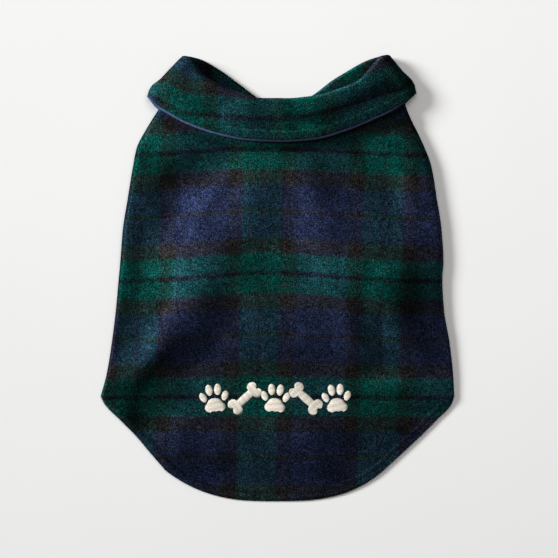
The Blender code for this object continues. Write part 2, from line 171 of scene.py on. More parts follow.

# Painted light and shade along paths, for the lit and shaded sides of folds and creases and the shadows below the
# collar: x, y, width on each side as for a crease, and how much lighter (above 0) or darker, as a natural
# logarithm.
PAINTED_LIGHT_AND_SHADE = {
    "chest band": (
        (-10, 112, 10, 14, 0.45), (-34, 86, 14, 18, 0.85), (-49, 64, 18, 18, 0.85), (-60, 35, 20, 14, 0.34),
        (-72, 12, 24, 14, 0.62), (-86, -8, 18, 14, 0.8), (-94, -28, 12, 16, 0.6), (-104, -50, 10, 16, 0.38),
        (-138, -82, 8, 10, 0.22),
    ),
    "outer chest band": (
        (-84, 84, 8, 8, 0.15), (-87, 68, 9, 9, 0.42), (-104, 38, 9, 9, 0.62), (-112, 6, 12, 10, 0.35),
    ),
    "left shoulder shade": (
        (-60, 122, 10, 10, -0.6), (-82, 112, 14, 14, -0.8), (-104, 97, 16, 16, -1.35), (-114, 80, 13, 12, -1.1),
        (-110, 62, 11, 11, -0.85), (-122, 48, 8, 8, -0.3),
    ),
    "left edge shade": (
        (-135, 108, 8, 8, -0.4), (-136, 80, 8, 8, -0.12), (-136, 40, 9, 9, -0.55), (-138, 5, 9, 9, -0.45),
        (-142, -28, 10, 10, -0.65), (-151, -48, 9, 9, -0.75), (-153, -68, 7, 7, -0.35),
    ),
    "left hip shade": (
        (-46, -10, 10, 12, -0.15), (-56, -44, 14, 14, -0.9), (-70, -66, 16, 15, -1), (-104, -89, 18, 12, -0.88),
        (-138, -103, 14, 9, -0.95), (-153, -107, 9, 9, -0.9),
    ),
    "left corner shade": ((-98, -112, 15, 14, -0.75), (-120, -118, 15, 14, -0.85), (-133, -131, 13, 11, -1.7)),
    "left tail light": ((-88, -122, 9, 9, 0.25), (-112, -148, 9, 10, 0.4)),
    "tail shade": (
        (-87, -172, 16, 20, -0.95), (-64, -182, 18, 20, -0.72), (-36, -172, 24, 24, -0.4),
        (5, -175, 30, 24, -0.58), (58, -168, 26, 30, -0.62), (92, -150, 20, 14, -0.38),
        (118, -146, 16, 9, -0.7),
    ),
    "right tail shade": (
        (74, -118, 12, 12, -0.5), (73, -140, 10, 11, -0.6), (72, -165, 9, 9, -0.35), (52, -192, 14, 14, -0.62),
    ),
    "right corner shade": ((124, -112, 14, 14, -0.65), (122, -126, 14, 14, -0.55), (112, -136, 12, 12, -0.25)),
    "right chest light": (
        (14, 88, 10, 12, 0.25), (22, 56, 16, 22, 0.4), (30, 10, 16, 30, 0.48), (34, -10, 14, 16, 0.35),
    ),
    "right waist light": (
        (76, 56, 14, 18, 0.25), (72, 30, 16, 16, 0.4), (66, 12, 14, 12, 0.45), (80, -14, 8, 9, 0.28),
    ),
    "right shoulder light": (
        (96, 126, 12, 10, 0.25), (120, 108, 11, 10, 0.55), (120, 78, 12, 22, 0.5), (138, 50, 12, 14, 0.4),
    ),
    "shade below the piping": (
        (-112, 152, 5, 5, -0.3), (-100, 145, 5, 5, -0.5), (-80, 135, 5, 6, -0.35), (-60, 128, 5, 6, -0.55),
        (-35, 124, 4, 5, -0.5), (-10, 125, 7, 5, -1.1), (15, 125.5, 8, 5, -1.45), (35, 129, 7, 5, -1.35),
        (57, 136, 5, 6, -1.25), (80, 141.5, 7, 7, -1.55), (97, 149, 7, 8, -1.8), (114, 157, 6, 8, -2.2),
    ),
    "shade under the collar": (
        (26, 124, 5, 5, -0.4), (64, 131, 9, 8, -0.9), (78, 112, 8, 7, -0.5), (82, 92, 8, 8, -0.35),
    ),
    "right flank shade": (
        (146, 20, 14, 12, -0.5), (134, -6, 22, 22, -1.15), (132, -26, 22, 20, -1.35), (140, -46, 16, 14, -0.75),
        (144, -66, 16, 14, -1), (146, -84, 12, 12, -0.45),
    ),
    "right waist shade": (
        (95, -18, 10, 8, -0.5), (94, -48, 10, 8, -1), (92, -72, 14, 16, -0.95), (76, -92, 10, 10, -0.55),
        (73, -106, 9, 9, -0.35),
    ),
    "right hip light": ((82, -103, 8, 7, 0.3), (110, -98, 8, 8, 0.3)),
    "right waist gleam": ((108, 18, 9, 9, 0.06), (110, -46, 5, 5, 0.32), (114, -62, 6, 6, 0.1)),
    "lower middle shade": ((-44, -72, 14, 14, -0.25), (0, -84, 14, 22, -0.35), (46, -70, 18, 14, -0.28)),
    "lower middle light": ((-20, -40, 10, 10, 0.12), (-20, -72, 10, 10, 0.3)),
    "left hip gleam": ((-78, -38, 6, 6, 0.2), (-76, -52, 6, 6, 0.35)),
    "tail middle light": ((22, -146, 10, 10, 0.15), (29, -160, 9, 10, 0.38), (30, -172, 8, 8, 0.2)),
    "right shoulder edge": (
        (120, 142, 8, 8, -0.45), (134, 126, 8, 8, -0.6), (137, 108, 7, 8, -0.3), (128, 96, 6, 7, -0.15),
    ),
    "chest light": ((-33, 60, 9, 9, 0.28), (-36, 44, 10, 10, 0.32)),
    "outer chest light": ((-75, 50, 6, 6, 0.2), (-75, 40, 6, 6, 0.42), (-75, 28, 6, 6, 0.22)),
    "outer chest shade": ((-91, 42, 6, 7, -0.2), (-91, 22, 7, 8, -0.3)),
    "right edge shade": (
        (153, -8, 8, 8, -0.35), (152, -22, 8, 8, -0.65), (151, -38, 7, 7, -0.25), (150, -56, 7, 7, -0.25),
    ),
    "right hem shade": (
        (141, -124, 8, 8, -0.15), (132, -137, 9, 9, -0.38), (119, -149, 8, 8, -0.12), (102, -166, 9, 9, -0.36),
        (88, -178, 8, 8, -0.2),
    ),
    "left tip shade": ((-139, -127, 8, 8, -0.5), (-122, -138, 8, 8, -0.38), (-105, -137, 7, 7, -0.25)),
    "left tail gleam": ((-104, -162, 8, 8, 0.36), (-98, -150, 7, 7, 0.12)),
    "middle shade": ((2, -54, 9, 9, -0.22), (2, -67, 10, 10, -0.42), (14, -70, 8, 8, -0.12)),
    "right waist line": ((75, -58, 7, 7, -0.26), (75, -78, 7, 7, -0.3)),
    "right hip gleam": ((151, -87, 7, 7, 0.42), (132, -100, 9, 8, 0.2), (92, -88, 7, 7, 0.3)),
    "left hip edge": ((-120, -90, 7, 7, 0.22), (-122, -101, 8, 8, 0.36), (-134, -111, 7, 7, 0.22)),
    "left waist shade": ((-102, -12, 8, 8, -0.3), (-112, -25, 8, 8, -0.28)),
    "right shoulder dip": ((102, 116, 7, 7, -0.34), (110, 122, 7, 7, -0.22)),
    "middle chest shade": ((0, 104, 8, 8, -0.26), (0, 90, 8, 8, -0.34), (0, 68, 8, 8, -0.2)),
    "right side light": (
        (102, 8, 8, 8, 0.24), (120, 8, 9, 9, 0.36), (137, 10, 9, 9, 0.32), (151, 30, 8, 8, 0.25),
    ),
    "right shoulder gleam": ((136, 94, 7, 7, 0.18), (136, 79, 7, 7, 0.32)),
}

# Painted light and shade round the folds at the sides: a factor on the left, on the right one by y, and the turn
# where that begins
LEFT_FOLD_PAINTED_LIGHT = 0.75
RIGHT_FOLD_PAINTED_LIGHT = ((-112, 1.5), (60, 1.5), (105, 0.9), (140, 0.4))
FOLD_PAINT_TURN = 0.9

# Plaid: repeats, where the middle of a green stripe lies, and how the stripes lean and bow
WARP_REPEAT = 114.9
WEFT_REPEAT = 117.1
WARP_CENTRE = -13.4
WARP_LEAN = 0.024
LEAN_Y = 121.0
WEFT_CENTRE = 5.0
BOW_ROWS = ((-190, 0), (-150, 0), (-112, 1.5), (-60, 5), (0, 8), (115, 5.5), (190, 5))
BOW_MIDDLE = -8.0
BOW_WIDTH = 135.0
BELLY_SHIFT = (36.0, 0.0)

# Mesh density: segments between rows and columns
TOP_SEGMENTS = 176
FOLD_SEGMENTS = 10
TURN_SEGMENTS = 14
BELLY_SEGMENTS = 84
BODY_SEGMENTS = 124
TAIL_SEGMENTS = 46
STAND_SEGMENTS = 6
ROLL_SEGMENTS = 8
FALL_SEGMENTS = 22
COLLAR_SEGMENTS = 124
COLLAR_FOLD_SEGMENTS = 14
HEM_SEGMENTS = 24

# Edges of the cloth: a rounded rim with rings of points at shares of the thickness, bulging by a share of it
RIM_SHARES = (0.2, 0.5, 0.8)
RIM_BULGE = 0.28
INNER_LOWEST = 0.03
TAIL_ROUNDING = (2.2, 0.9, 4.0)  # width and depth of the tail's turned-down edge, and its start below the corner
NO_EDGE = 60.0  # stands for a distance to an edge that is too far to matter

# Sewing: a hem's stitches lie STITCH_INSET from its edge and draw the cloth in
STITCH_INSET = 7.6
GROOVE = (0.45, 1.6)  # depth and half width
STITCH_PITCH = 3.3
STITCH_LIFT = (-0.25, 0.06, 0.12, 0.12, 0.06, -0.25)
THREAD = 0.24
THREAD_SIDES = 5
TONE_STEP = 12.9898  # spreads the threads' tones
HEM_ENDS = 4  # points left out at each end of the tail's stitching
BELLY_HEM = (136.0, 140)  # half width and points of the belly's stitching
ARMHOLE_POINTS = 90
RAY_START = 0.1  # metres above or below, from where the cloth's surface is looked for

# The collar's plaid: where the middle of a green stripe lies along the band, the rounding of its left end, and
# how far its dark line lies from the outer edge, by place across, or from the roll on the far side
COLLAR_WARP_CENTRE = -87.4
COLLAR_WARP_REPEAT = 111.0
COLLAR_ROUNDING = (-92.0, -120.0, 9.0)
COLLAR_LINE = (
    (-1, 4.2), (-0.92, 4.7), (-0.84, 5.8), (-0.69, 12.4), (-0.54, 16), (-0.43, 18.5), (-0.24, 19.5),
    (-0.02, 20.5), (0.22, 22), (0.45, 21), (0.6, 20.5), (0.7, 19), (0.84, 17), (0.96, 13.5), (1, 12.5),
)
FAR_LINE = 8.0
FAR_LINE_REACH = 0.28
LEFT_END_DROP = 8.0
# How much the plaid above that line is drawn together at each end, and where across that begins and ends
RIGHT_TIGHT, LEFT_TIGHT, TIGHT_FADE = 0.22, 0.13, 4.0
RIGHT_TIGHT_RISE, LEFT_TIGHT_RISE, LEFT_TIGHT_FALL = (0.3, 0.8), (-0.95, -0.8), (-0.45, -0.65)

# The collar's surface: a sewn ridge inside its edge, the pinch of the edge, and a highlight painted along the rim
# of the roll
ROLL_WIDTH = 9.0
FALL_START = 4.0
CREASE_FADE = 6.0
COLLAR_RIDGE = 8.0
RIDGE_HEIGHT, RIDGE_WIDTH, RIDGE_RISE = 0.45, 1.5, (-0.7, -0.2)
EDGE_PINCH, PINCH_WIDTH = 0.62, 4.0
ROLL_PAINTED_HIGHLIGHT, RIM_PLACE, RIM_WIDTH = 0.6, -2.9, 0.9
RIM_ENDS = (-22.0, -48.0)

# Creases of the fall, and its painted light and shade as for the back; and the painted shade inside the band's
# far side, by x
COLLAR_CREASES = {
    "right trough": (
        (20, 149, 5, 6, -0.4), (45, 154, 6, 7, -1.1), (80, 168, 7, 8, -1.4), (108, 180, 7, 8, -0.7),
    ),
    "left swell": ((-46, 168, 6, 8, 0.2), (-46, 150, 6, 8, 0.6)),
    "left dip": ((-20, 163, 7, 8, -0.4), (-18, 146, 7, 8, -0.6)),
}
COLLAR_PAINTED_LIGHT_AND_SHADE = {
    "left tip shade": (
        (-85, 210, 9, 9, -1.05), (-94, 200, 7, 7, -0.45), (-103, 191, 8, 8, -0.95), (-113, 183, 7, 7, -0.55),
        (-118, 174, 6, 6, -0.35),
    ),
    "left roll light": (
        (-92, 193, 6, 6, 0.45), (-85, 190, 5, 5, 0.35), (-77, 188, 4, 4, -0.25), (-66, 183, 5, 6, 0.2),
        (-54, 179, 5, 6, 0.3), (-42, 176, 4, 5, 0.1),
    ),
    "left swell light": ((-34, 168, 6, 6, 0.4), (-45, 154, 6, 8, 0.55), (-46, 145, 6, 7, 0.4)),
    "left low shade": ((-80, 164, 6, 6, -0.25), (-66, 159, 6, 6, -0.28)),
    "middle shade": ((-14, 162, 8, 8, -0.5), (-14, 152, 8, 8, -0.55), (-12, 143, 8, 8, -0.65)),
    "middle shade, right": ((12, 161, 5, 5, -0.35), (12, 152, 5, 6, -0.75), (12, 143, 5, 5, -0.7)),
    "right trough shade": (
        (24, 150, 5, 5, -0.35), (35, 152, 6, 6, -1), (57, 156, 7, 8, -1.35), (69, 161, 8, 8, -1.5),
        (80, 168, 8, 8, -1.25), (92, 175, 9, 9, -1.55), (104, 179, 9, 9, -1.15), (114, 182, 8, 8, -1.1),
        (124, 183, 6, 6, -0.9),
    ),
    "right roll shade": (
        (70, 185, 5, 5, -0.25), (80, 191, 5, 5, -0.8), (92, 197, 6, 6, -0.55), (101, 206, 6, 6, -0.4),
    ),
    "right low shade": ((34, 146, 6, 5, -0.4), (57, 147, 7, 6, -0.45)),
}
COLLAR_INSIDE_SHADE = ((-90, -1.3), (-50, -1), (-30, -0.6), (40, -0.2), (70, -0.4), (95, -0.9))

# Piping: the cord's radius, its ring of points, how far it tucks under the edge, and its painted light and shade
# by x, lighter on the left towards the light
CORD = 1.15
CORD_SIDES = 14
CORD_GAP = 0.1
GATHER, GATHER_PITCH = 0.035, 3.1
SWELL, SWELL_RUN = 0.03, 7.0
PIPING_TUCK = ((-124, 0.9), (-112, 0), (104, 0), (116, 0.9), (126, 2.2))
PIPING_PAINTED_LIGHT = (
    (-124, 0.45), (-114, 0.8), (-90, 0.74), (-62, 0.66), (-35, 0.34), (-20, 0.25), (-5, 0.18), (10, 0.15),
    (60, 0.18), (95, 0.18), (110, 0.14), (122, 0.06),
)

# The ornament, a generic row of paw prints and bones in satin stitch: kind, x, y, tilt in degrees
ORNAMENT_CENTRE = (-2.0, -114.2)
ORNAMENT_ROW = (
    ("paw", -58, 0, 6), ("bone", -28.9, 0, 42), ("paw", 0, 0, -4), ("bone", 28.9, 0, -42), ("paw", 58, 0, 5),
)
# Ovals of a paw's pad and toes and of a bone: x, y, half width, half height, tilt in degrees
PAW_PAD = ((0, -6, 7.8, 6.4, 0), (-5.2, -8.2, 4.8, 4.4, 20), (5.2, -8.2, 4.8, 4.4, -20))
PAW_TOES = (
    (-10.4, 1.8, 3.2, 4.8, 28), (-4.1, 8.3, 3.5, 5.3, 8), (4.1, 8.3, 3.5, 5.3, -8), (10.4, 1.8, 3.2, 4.8, -28),
)
BONE = (
    (0, 0, 13.5, 4, 0), (-12.2, 3.9, 4.7, 4.5, 0), (-12.2, -3.9, 4.7, 4.5, 0), (12.2, 3.9, 4.7, 4.5, 0),
    (12.2, -3.9, 4.7, 4.5, 0),
)
BONE_SHAFT = (10.5, 3.8)
PAW_WAY, BONE_WAY = 8.0, 84.0  # the threads' direction in degrees
SATIN_SPACING = 0.36
SATIN_LIFT = 0.85
SATIN_SUNK = 0.15
SATIN_THREAD = 0.27
SATIN_TAPER = (0.6, 0.95, 1.0, 1.0, 1.0, 1.0, 0.95, 0.6)
SATIN_WANDER = 0.12
WANDER_STEPS = (7.31, 4.17)
ORNAMENT_REACH = 20.0
FINE = 0.1
SHORTEST_THREAD = 8  # in steps of FINE

# Colours of the yarns, and where the stripes of half a repeat end, out from the middle of a green one
GREEN = (0.0003, 0.0288, 0.0240)
BLUE = (0.0068, 0.0104, 0.0285)
BLACK = (0.0090, 0.0082, 0.0083)
WARP_BLACK = (0.0070, 0.0060, 0.0062)
NAVY_LINE = (0.0024, 0.0036, 0.0052)
GREEN_LINE = (0.0012, 0.0150, 0.0150)
BLUE_LINE = (0.0055, 0.0085, 0.0200)
STRIPE_ENDS = (0.0124, 0.1612, 0.2851, 0.4917)
STRIPE_SOFTNESS = 0.015
SOFT_SHARE = 0.3  # the most of a narrow stripe that its soft edge takes up
RIDGE_HIGHLIGHT = (0.006, 0.056, 0.050, 1.0)
FLECK = (0.0135, 0.0165, 0.0175)
SETT_MM = 115.0
TWILL_PITCH = 2.9

# The brushed face: how far its stripes wander and fray, in repeats; how much of the warp shows; the light of the
# pile, from between its tips to a tip; and the lowest and highest factor of each unevenness
DRIFT, FRAY = 0.016, 0.028
WARP_SHARE, TWILL_SHARE = (0.32, 0.98), 0.12
PILE_LOW, PILE_GAIN, PILE_POWER, PILE_TIPS = 0.31, 2.72, 1.65, (0.35, 0.69)
TWILL_LIGHT = 0.10
GRAIN_STRETCH, FLECK_STRETCH = (1.12, 0.88, 1.0), (1.0, 0.8, 1.0)
ALONG_YARN, ACROSS_YARN = (1.0, 0.14, 0.0), (0.14, 1.0, 0.0)
UNEVEN = {"along": (0.84, 1.16), "across": (0.86, 1.14), "cloudy": (0.78, 1.24), "patchy": (0.72, 1.30)}
FLECK_TIPS = (0.55, 0.70)
# A light green line painted along the collar's sewn ridge as its highlight: its soft edge, where along the band
# it comes up, and how strongly
RIDGE_HIGHLIGHT_EDGE, RIDGE_HIGHLIGHT_RISE, RIDGE_HIGHLIGHT_SHARE = (0.3, 1.3), (25.0, 62.0), 0.55
# The shade of a hem's stitched groove, and of the cloth's edge: middle, soft edge and factor
GROOVE_MIDDLE, GROOVE_EDGE, GROOVE_SHADE = STITCH_INSET + 0.6, (0.4, 2.2), 0.70
CUT_EDGE, CUT_SHADE = 1.6, 0.7

# Satin, threads and floor
SATIN_RIBS = (7.0, 12.57)  # phase of the ribs by millimetre along and by turn round
SATIN_DARK, SATIN_LIGHT = (0.055, 0.086, 0.195, 1.0), (0.105, 0.155, 0.305, 1.0)
DARK_THREAD = (0.003, 0.005, 0.008), (0.007, 0.010, 0.015)
IVORY_THREAD = (0.62, 0.56, 0.47), (0.84, 0.80, 0.72)
PAPER = (0.80, 0.80, 0.80, 1.0), (0.82, 0.82, 0.82, 1.0)

# Camera and light
FRAME_CENTRE = (1.4, -0.95)
FRAME_WIDTH = 530.1
CAMERA_HEIGHT = 2600.0
SENSOR = 36.0
FLOOR_REACH = 3000.0
FLOOR_Z = -0.2
LIGHTS = (  # name, place, target and size in metres, power, colour
    ("window light", (-7.53, 2.75, 4.27), (0.0, 0.0, 0.0), 3.3, 1092.0, (0.995, 1.0, 1.01)),
    ("top light", (0.12, 0.42, 1.25), (0.12, 0.30, 0.0), 0.9, 6.8, (1.0, 0.99, 0.97)),
)
SKY = (1.0, 0.97, 0.92, 1.0)
SKY_STRENGTH = 0.145


# Curves and small helpers

def smooth_through(pairs):
    """A function through (x, y) pairs with x rising: a cubic that never overshoots its points."""
    xs, ys = (np.array(column, dtype=float) for column in zip(*pairs))
    run = np.diff(xs)
    rise = np.diff(ys) / run
    product = rise[:-1] * rise[1:]
    total = np.where(product > 0.0, rise[:-1] + rise[1:], 1.0)
    slope = np.concatenate([rise[:1], np.where(product > 0.0, 2.0 * product / total, 0.0), rise[-1:]])

    def value(x):
        x = np.clip(x, xs[0], xs[-1])
        i = np.clip(np.searchsorted(xs, x, side="right") - 1, 0, len(run) - 1)
        t = (x - xs[i]) / run[i]
        start = (1.0 + 2.0 * t) * (1.0 - t) ** 2 * ys[i] + t * (1.0 - t) ** 2 * run[i] * slope[i]
        end = t * t * (3.0 - 2.0 * t) * ys[i + 1] + t * t * (t - 1.0) * run[i] * slope[i + 1]
        return start + end

    return value


def columns_of(names, rows):
    """A smooth function of the first column for each of the others, by name."""
    functions = {}
    for i, name in enumerate(names[1:], start=1):
        functions[name] = smooth_through([(row[0], row[i]) for row in rows])
    return functions


def mix(a, b, t):
    return a + (b - a) * t


def smoothstep(t):
    t = np.clip(t, 0.0, 1.0)
    return t * t * (3.0 - 2.0 * t)


def between(value, start, end):
    """A smooth rise from 0 at start to 1 at end."""
    return smoothstep((value - start) / (end - start))


def bell(t):
    return np.exp(-t * t)


def unit(vectors):
    return vectors / np.maximum(np.linalg.norm(vectors, axis=-1, keepdims=True), 1e-9)


def reach_of(points):
    """Length along a path up to each of its points."""
    return np.concatenate([[0.0], np.cumsum(np.linalg.norm(np.diff(points, axis=0), axis=1))])


def resampled(path, spacing):
    """Points of an open path at even spacing."""
    reach = reach_of(path)
    places = np.linspace(0.0, reach[-1], int(round(reach[-1] / spacing)) + 1)
    return np.stack([np.interp(places, reach, column) for column in path.T], axis=-1)


BODY = columns_of(BODY_COLUMNS, BODY_ROWS)
TAIL = columns_of(TAIL_COLUMNS, TAIL_ROWS)
COLLAR = columns_of(COLLAR_COLUMNS, COLLAR_STATIONS)
BOW = smooth_through(BOW_ROWS)
RIGHT_FOLD_LIGHT_BY_Y = smooth_through(RIGHT_FOLD_PAINTED_LIGHT)
END_LINE = smooth_through(COLLAR_LINE)
INSIDE_SHADE = smooth_through(COLLAR_INSIDE_SHADE)
TUCK = smooth_through(PIPING_TUCK)
PIPING_LIGHT_BY_X = smooth_through(PIPING_PAINTED_LIGHT)
CORNER_Y = BODY_ROWS[0][0]
NECK_Y = BODY_ROWS[-1][0]
TAIL_Y = TAIL_ROWS[0][0]


# The garment's outer face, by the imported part's formulas

def half_width(fold_y):
    """Half the body's width, between the middles of its side folds."""
    return (BODY["right_x"](fold_y) - BODY["left_x"](fold_y)) / 2.0 - BODY["roll"](fold_y)


def underside(x, y):
    """Height of the layer beneath: it lifts where the collar's far side lies under it."""
    across = 2.0 * (x - EDGE_LEFT_X) / (EDGE_RIGHT_X - EDGE_LEFT_X) - 1.0
    past_edge = y - COLLAR["far_edge"](across) + LIFT_RUN + LIFT_LEAD
    return PANEL_LIFT * smoothstep(past_edge / LIFT_RUN)


def row_y(fold_y, across, dip):
    """y of a place in a row, whose middle lies lower than its ends by dip.

    The power changes at once at the corners' row, which pinches the edge of the layer beneath a little.
    """
    power = np.where(fold_y > CORNER_Y, NECK_POWER, np.where(across < 0.0, *TAIL_POWERS))
    return fold_y - dip * (1.0 - np.abs(across) ** power)


def polyline_distance(x, y, points):
    """Distance from each place to a line through points."""
    nearest = np.full(np.shape(x), 1e9)
    for (x0, y0), (x1, y1) in zip(points, points[1:]):
        along = ((x - x0) * (x1 - x0) + (y - y0) * (y1 - y0)) / ((x1 - x0) ** 2 + (y1 - y0) ** 2)
        along = np.clip(along, 0.0, 1.0)
        nearest = np.minimum(nearest, np.hypot(x - mix(x0, x1, along), y - mix(y0, y1, along)))
    return nearest


def crease_height(x, y, path):
    """Height of one crease: a soft ridge or trough along a smooth path, with its own width on each side."""
    knots = np.array(path, dtype=float)
    reach = reach_of(knots[:, :2])
    places = np.linspace(0.0, reach[-1], max(3, int(reach[-1] / PATH_STEP)))
    values = [smooth_through(list(zip(reach, column)))(places) for column in knots.T]
    tangent = unit(np.stack([np.gradient(values[0]), np.gradient(values[1])], axis=-1))
    dx = x[..., None] - values[0]
    dy = y[..., None] - values[1]
    square = dx * dx + dy * dy
    least = square.min(axis=-1)
    weight = np.exp(-(square - least[..., None]) / (2.0 * PATH_SOFTNESS**2))
    weight /= weight.sum(axis=-1, keepdims=True)
    beside = ((tangent[:, 0] * dy - tangent[:, 1] * dx) * weight).sum(axis=-1)
    lit, far, height = ((weight * value).sum(axis=-1) for value in values[2:])
    width = mix(lit, far, 0.5 + 0.5 * np.tanh(beside / PATH_SOFTNESS))
    return height * bell(np.sqrt(least) / width)


def sum_of(paths, x, y):
    """All the creases of a table together, or the painted light and shade of a table, as a logarithm."""
    return sum(crease_height(x, y, path) for path in paths.values())


def ripple(x, y):
    """The slight unevenness of a brushed cloth, under half a millimetre."""
    return (
        0.16 * np.sin(x / 11.0 + 1.3 * np.sin(y / 29.0))
        + 0.14 * np.sin(y / 13.0 + 1.7 * np.sin(x / 37.0) + 0.8)
        + 0.12 * np.sin((x + y) / 8.3 + 1.1 * np.sin((x - y) / 23.0))
    )


def relief(x, y, across):
    """Height of the creases and the cloth's unevenness, which fade at the sides and the neck."""
    beside = 1.0 - np.abs(across) ** RELIEF_EDGE_POWER
    return (ripple(x, y) + sum_of(CREASES, x, y)) * beside * between(y, *RELIEF_NECK)


def hem_line():
    """The tail's outline from the left corner round to the right corner."""
    sides = np.linspace(CORNER_Y, TAIL_Y, HEM_SEGMENTS + 1)[:-1]
    left = list(zip(TAIL["left_x"](sides), sides))
    right = list(zip(TAIL["right_x"](sides), sides))[::-1]
    share = np.linspace(0.0, 1.0, HEM_SEGMENTS + 1)
    x = mix(TAIL["left_x"](TAIL_Y), TAIL["right_x"](TAIL_Y), share)
    y = row_y(TAIL_Y, 2.0 * share - 1.0, TAIL["near_dip"](TAIL_Y))
    return left + list(zip(x, y)) + right


HEM = hem_line()


def body_points(fold_y, across, around, creased=True):
    """Points of the body's outer face. around is 0 on top, up to pi beneath."""
    left_x = BODY["left_x"](fold_y)
    right_x = BODY["right_x"](fold_y)
    roll = BODY["roll"](fold_y)
    share = (across + 1.0) / 2.0
    x = mix(left_x + roll, right_x - roll, share)
    y = row_y(fold_y, across, mix(BODY["near_dip"](fold_y), BODY["far_dip"](fold_y), around / PI))
    rest = mix(underside(left_x + roll, fold_y), underside(right_x - roll, fold_y), share)
    crown = 1.0 - np.abs(across) ** CROWN_POWER
    top = mix(rest + 2.0 * roll, BODY["height"](fold_y), crown)
    if creased:
        top = top + np.where(around == 0.0, relief(x, y, across), 0.0)
    beneath = underside(x, y)
    side = rest + roll * (1.0 + np.cos(around))
    on_side = (around > 0.0) & (around < PI)
    x = np.where(on_side, x + across * roll * np.sin(around), x)
    z = np.where(on_side, side, np.where(around == 0.0, top, beneath))
    return np.stack(np.broadcast_arrays(x, y, z), axis=-1)


def tail_points(fold_y, across, around):
    """Points of the tail's outer face, below the corners, where the cloth is a single layer."""
    left_x = TAIL["left_x"](fold_y)
    right_x = TAIL["right_x"](fold_y)
    settled = smoothstep((CORNER_Y - fold_y) / TAIL_SETTLE)
    roll = BODY["roll"](CORNER_Y)
    x = mix(left_x + roll, right_x - roll, (across + 1.0) / 2.0) + across * roll * np.sin(around)
    y = row_y(fold_y, across, TAIL["near_dip"](fold_y)) + TAIL_FOLD_RISE * roll * np.sin(around) * settled
    side = mix(roll * (1.0 + np.cos(around)), TAIL_REST, settled)
    crown = 1.0 - np.abs(across) ** CROWN_POWER
    z = mix(side, TAIL["height"](fold_y), crown) + relief(x, y, across)
    distance = polyline_distance(x, y, HEM)
    hem = HEM_RAISE * (1.0 - smoothstep((distance - HEM_WIDTH) / HEM_STEP)) * settled
    z = np.where(settled == 1.0, np.maximum(z, TAIL_REST), z) + hem
    return np.stack(np.broadcast_arrays(x, y, z), axis=-1)


# Shells: a grid of points made into cloth of a given thickness with rounded edges

def piece_of(name, vertices, faces, uv=None, **values):
    """A smooth object from vertices in millimetres, with UVs by face corner and other values by vertex."""
    mesh = bpy.data.meshes.new(name)
    mesh.from_pydata((np.reshape(vertices, (-1, 3)) * MM).tolist(), [], faces)
    mesh.shade_smooth()
    if uv is not None:
        mesh.uv_layers.new(name="Cloth").data.foreach_set("uv", uv.astype(np.float32).ravel())
    for title, value in values.items():
        mesh.attributes.new(title, "FLOAT", "POINT").data.foreach_set("value", value.astype(np.float32))
    obj = bpy.data.objects.new(name, mesh)
    bpy.context.scene.collection.objects.link(obj)
    return obj


def open_hole(points, present, where, middle):
    """Cut an armhole through the grid: the points next to it move onto its edge, those inside it go."""
    offset = points[..., :2] - np.array(middle)
    distance = np.hypot(offset[..., 0] / ARMHOLE_RADII[0], offset[..., 1] / ARMHOLE_RADII[1])
    inside = where & (distance < 1.0)
    on_edge = np.zeros_like(inside)
    gap = np.abs(distance - 1.0)
    first, last = slice(None, -1), slice(1, None)
    for a, b in (((first,), (last,)), ((slice(None), first), (slice(None), last))):
        crossing = (inside[a] != inside[b]) & present[a] & present[b]
        nearer = crossing & (gap[a] <= gap[b])
        on_edge[a] |= nearer
        on_edge[b] |= crossing & ~nearer
    moved = np.array(middle) + offset / np.maximum(distance, 1e-6)[..., None]
    points[..., :2] = np.where(on_edge[..., None], moved, points[..., :2])
    present &= ~inside | on_edge
    return on_edge


def open_armholes(points, present, beneath):
    """Cut both armholes. Returns the points on their edges."""
    x, y = ARMHOLE
    left = open_hole(points, present, beneath & present, (-x, y))
    return left | open_hole(points, present, beneath & present, (x, y))


def faces_of(present, dropped, closed):
    """Quads between present points, and a triangle where one corner is missing."""
    rows, columns = present.shape
    number = np.arange(rows * columns).reshape(rows, columns)
    faces = []
    for i in range(rows - 1):
        for j in range(columns if closed else columns - 1):
            k = (j + 1) % columns
            corners = [(i, j), (i + 1, j), (i + 1, k), (i, k)]
            kept = [c for c in corners if present[c]]
            if len(kept) > 2 and not all(dropped[c] for c in kept):
                faces.append([int(number[c]) for c in kept])
    return faces


def normals_of(points, faces):
    mesh = bpy.data.meshes.new("flat")
    mesh.from_pydata((points * MM).tolist(), [], faces)
    normals = np.zeros(points.size)
    mesh.vertex_normals.foreach_get("vector", normals)
    bpy.data.meshes.remove(mesh)
    return normals.reshape(-1, 3)


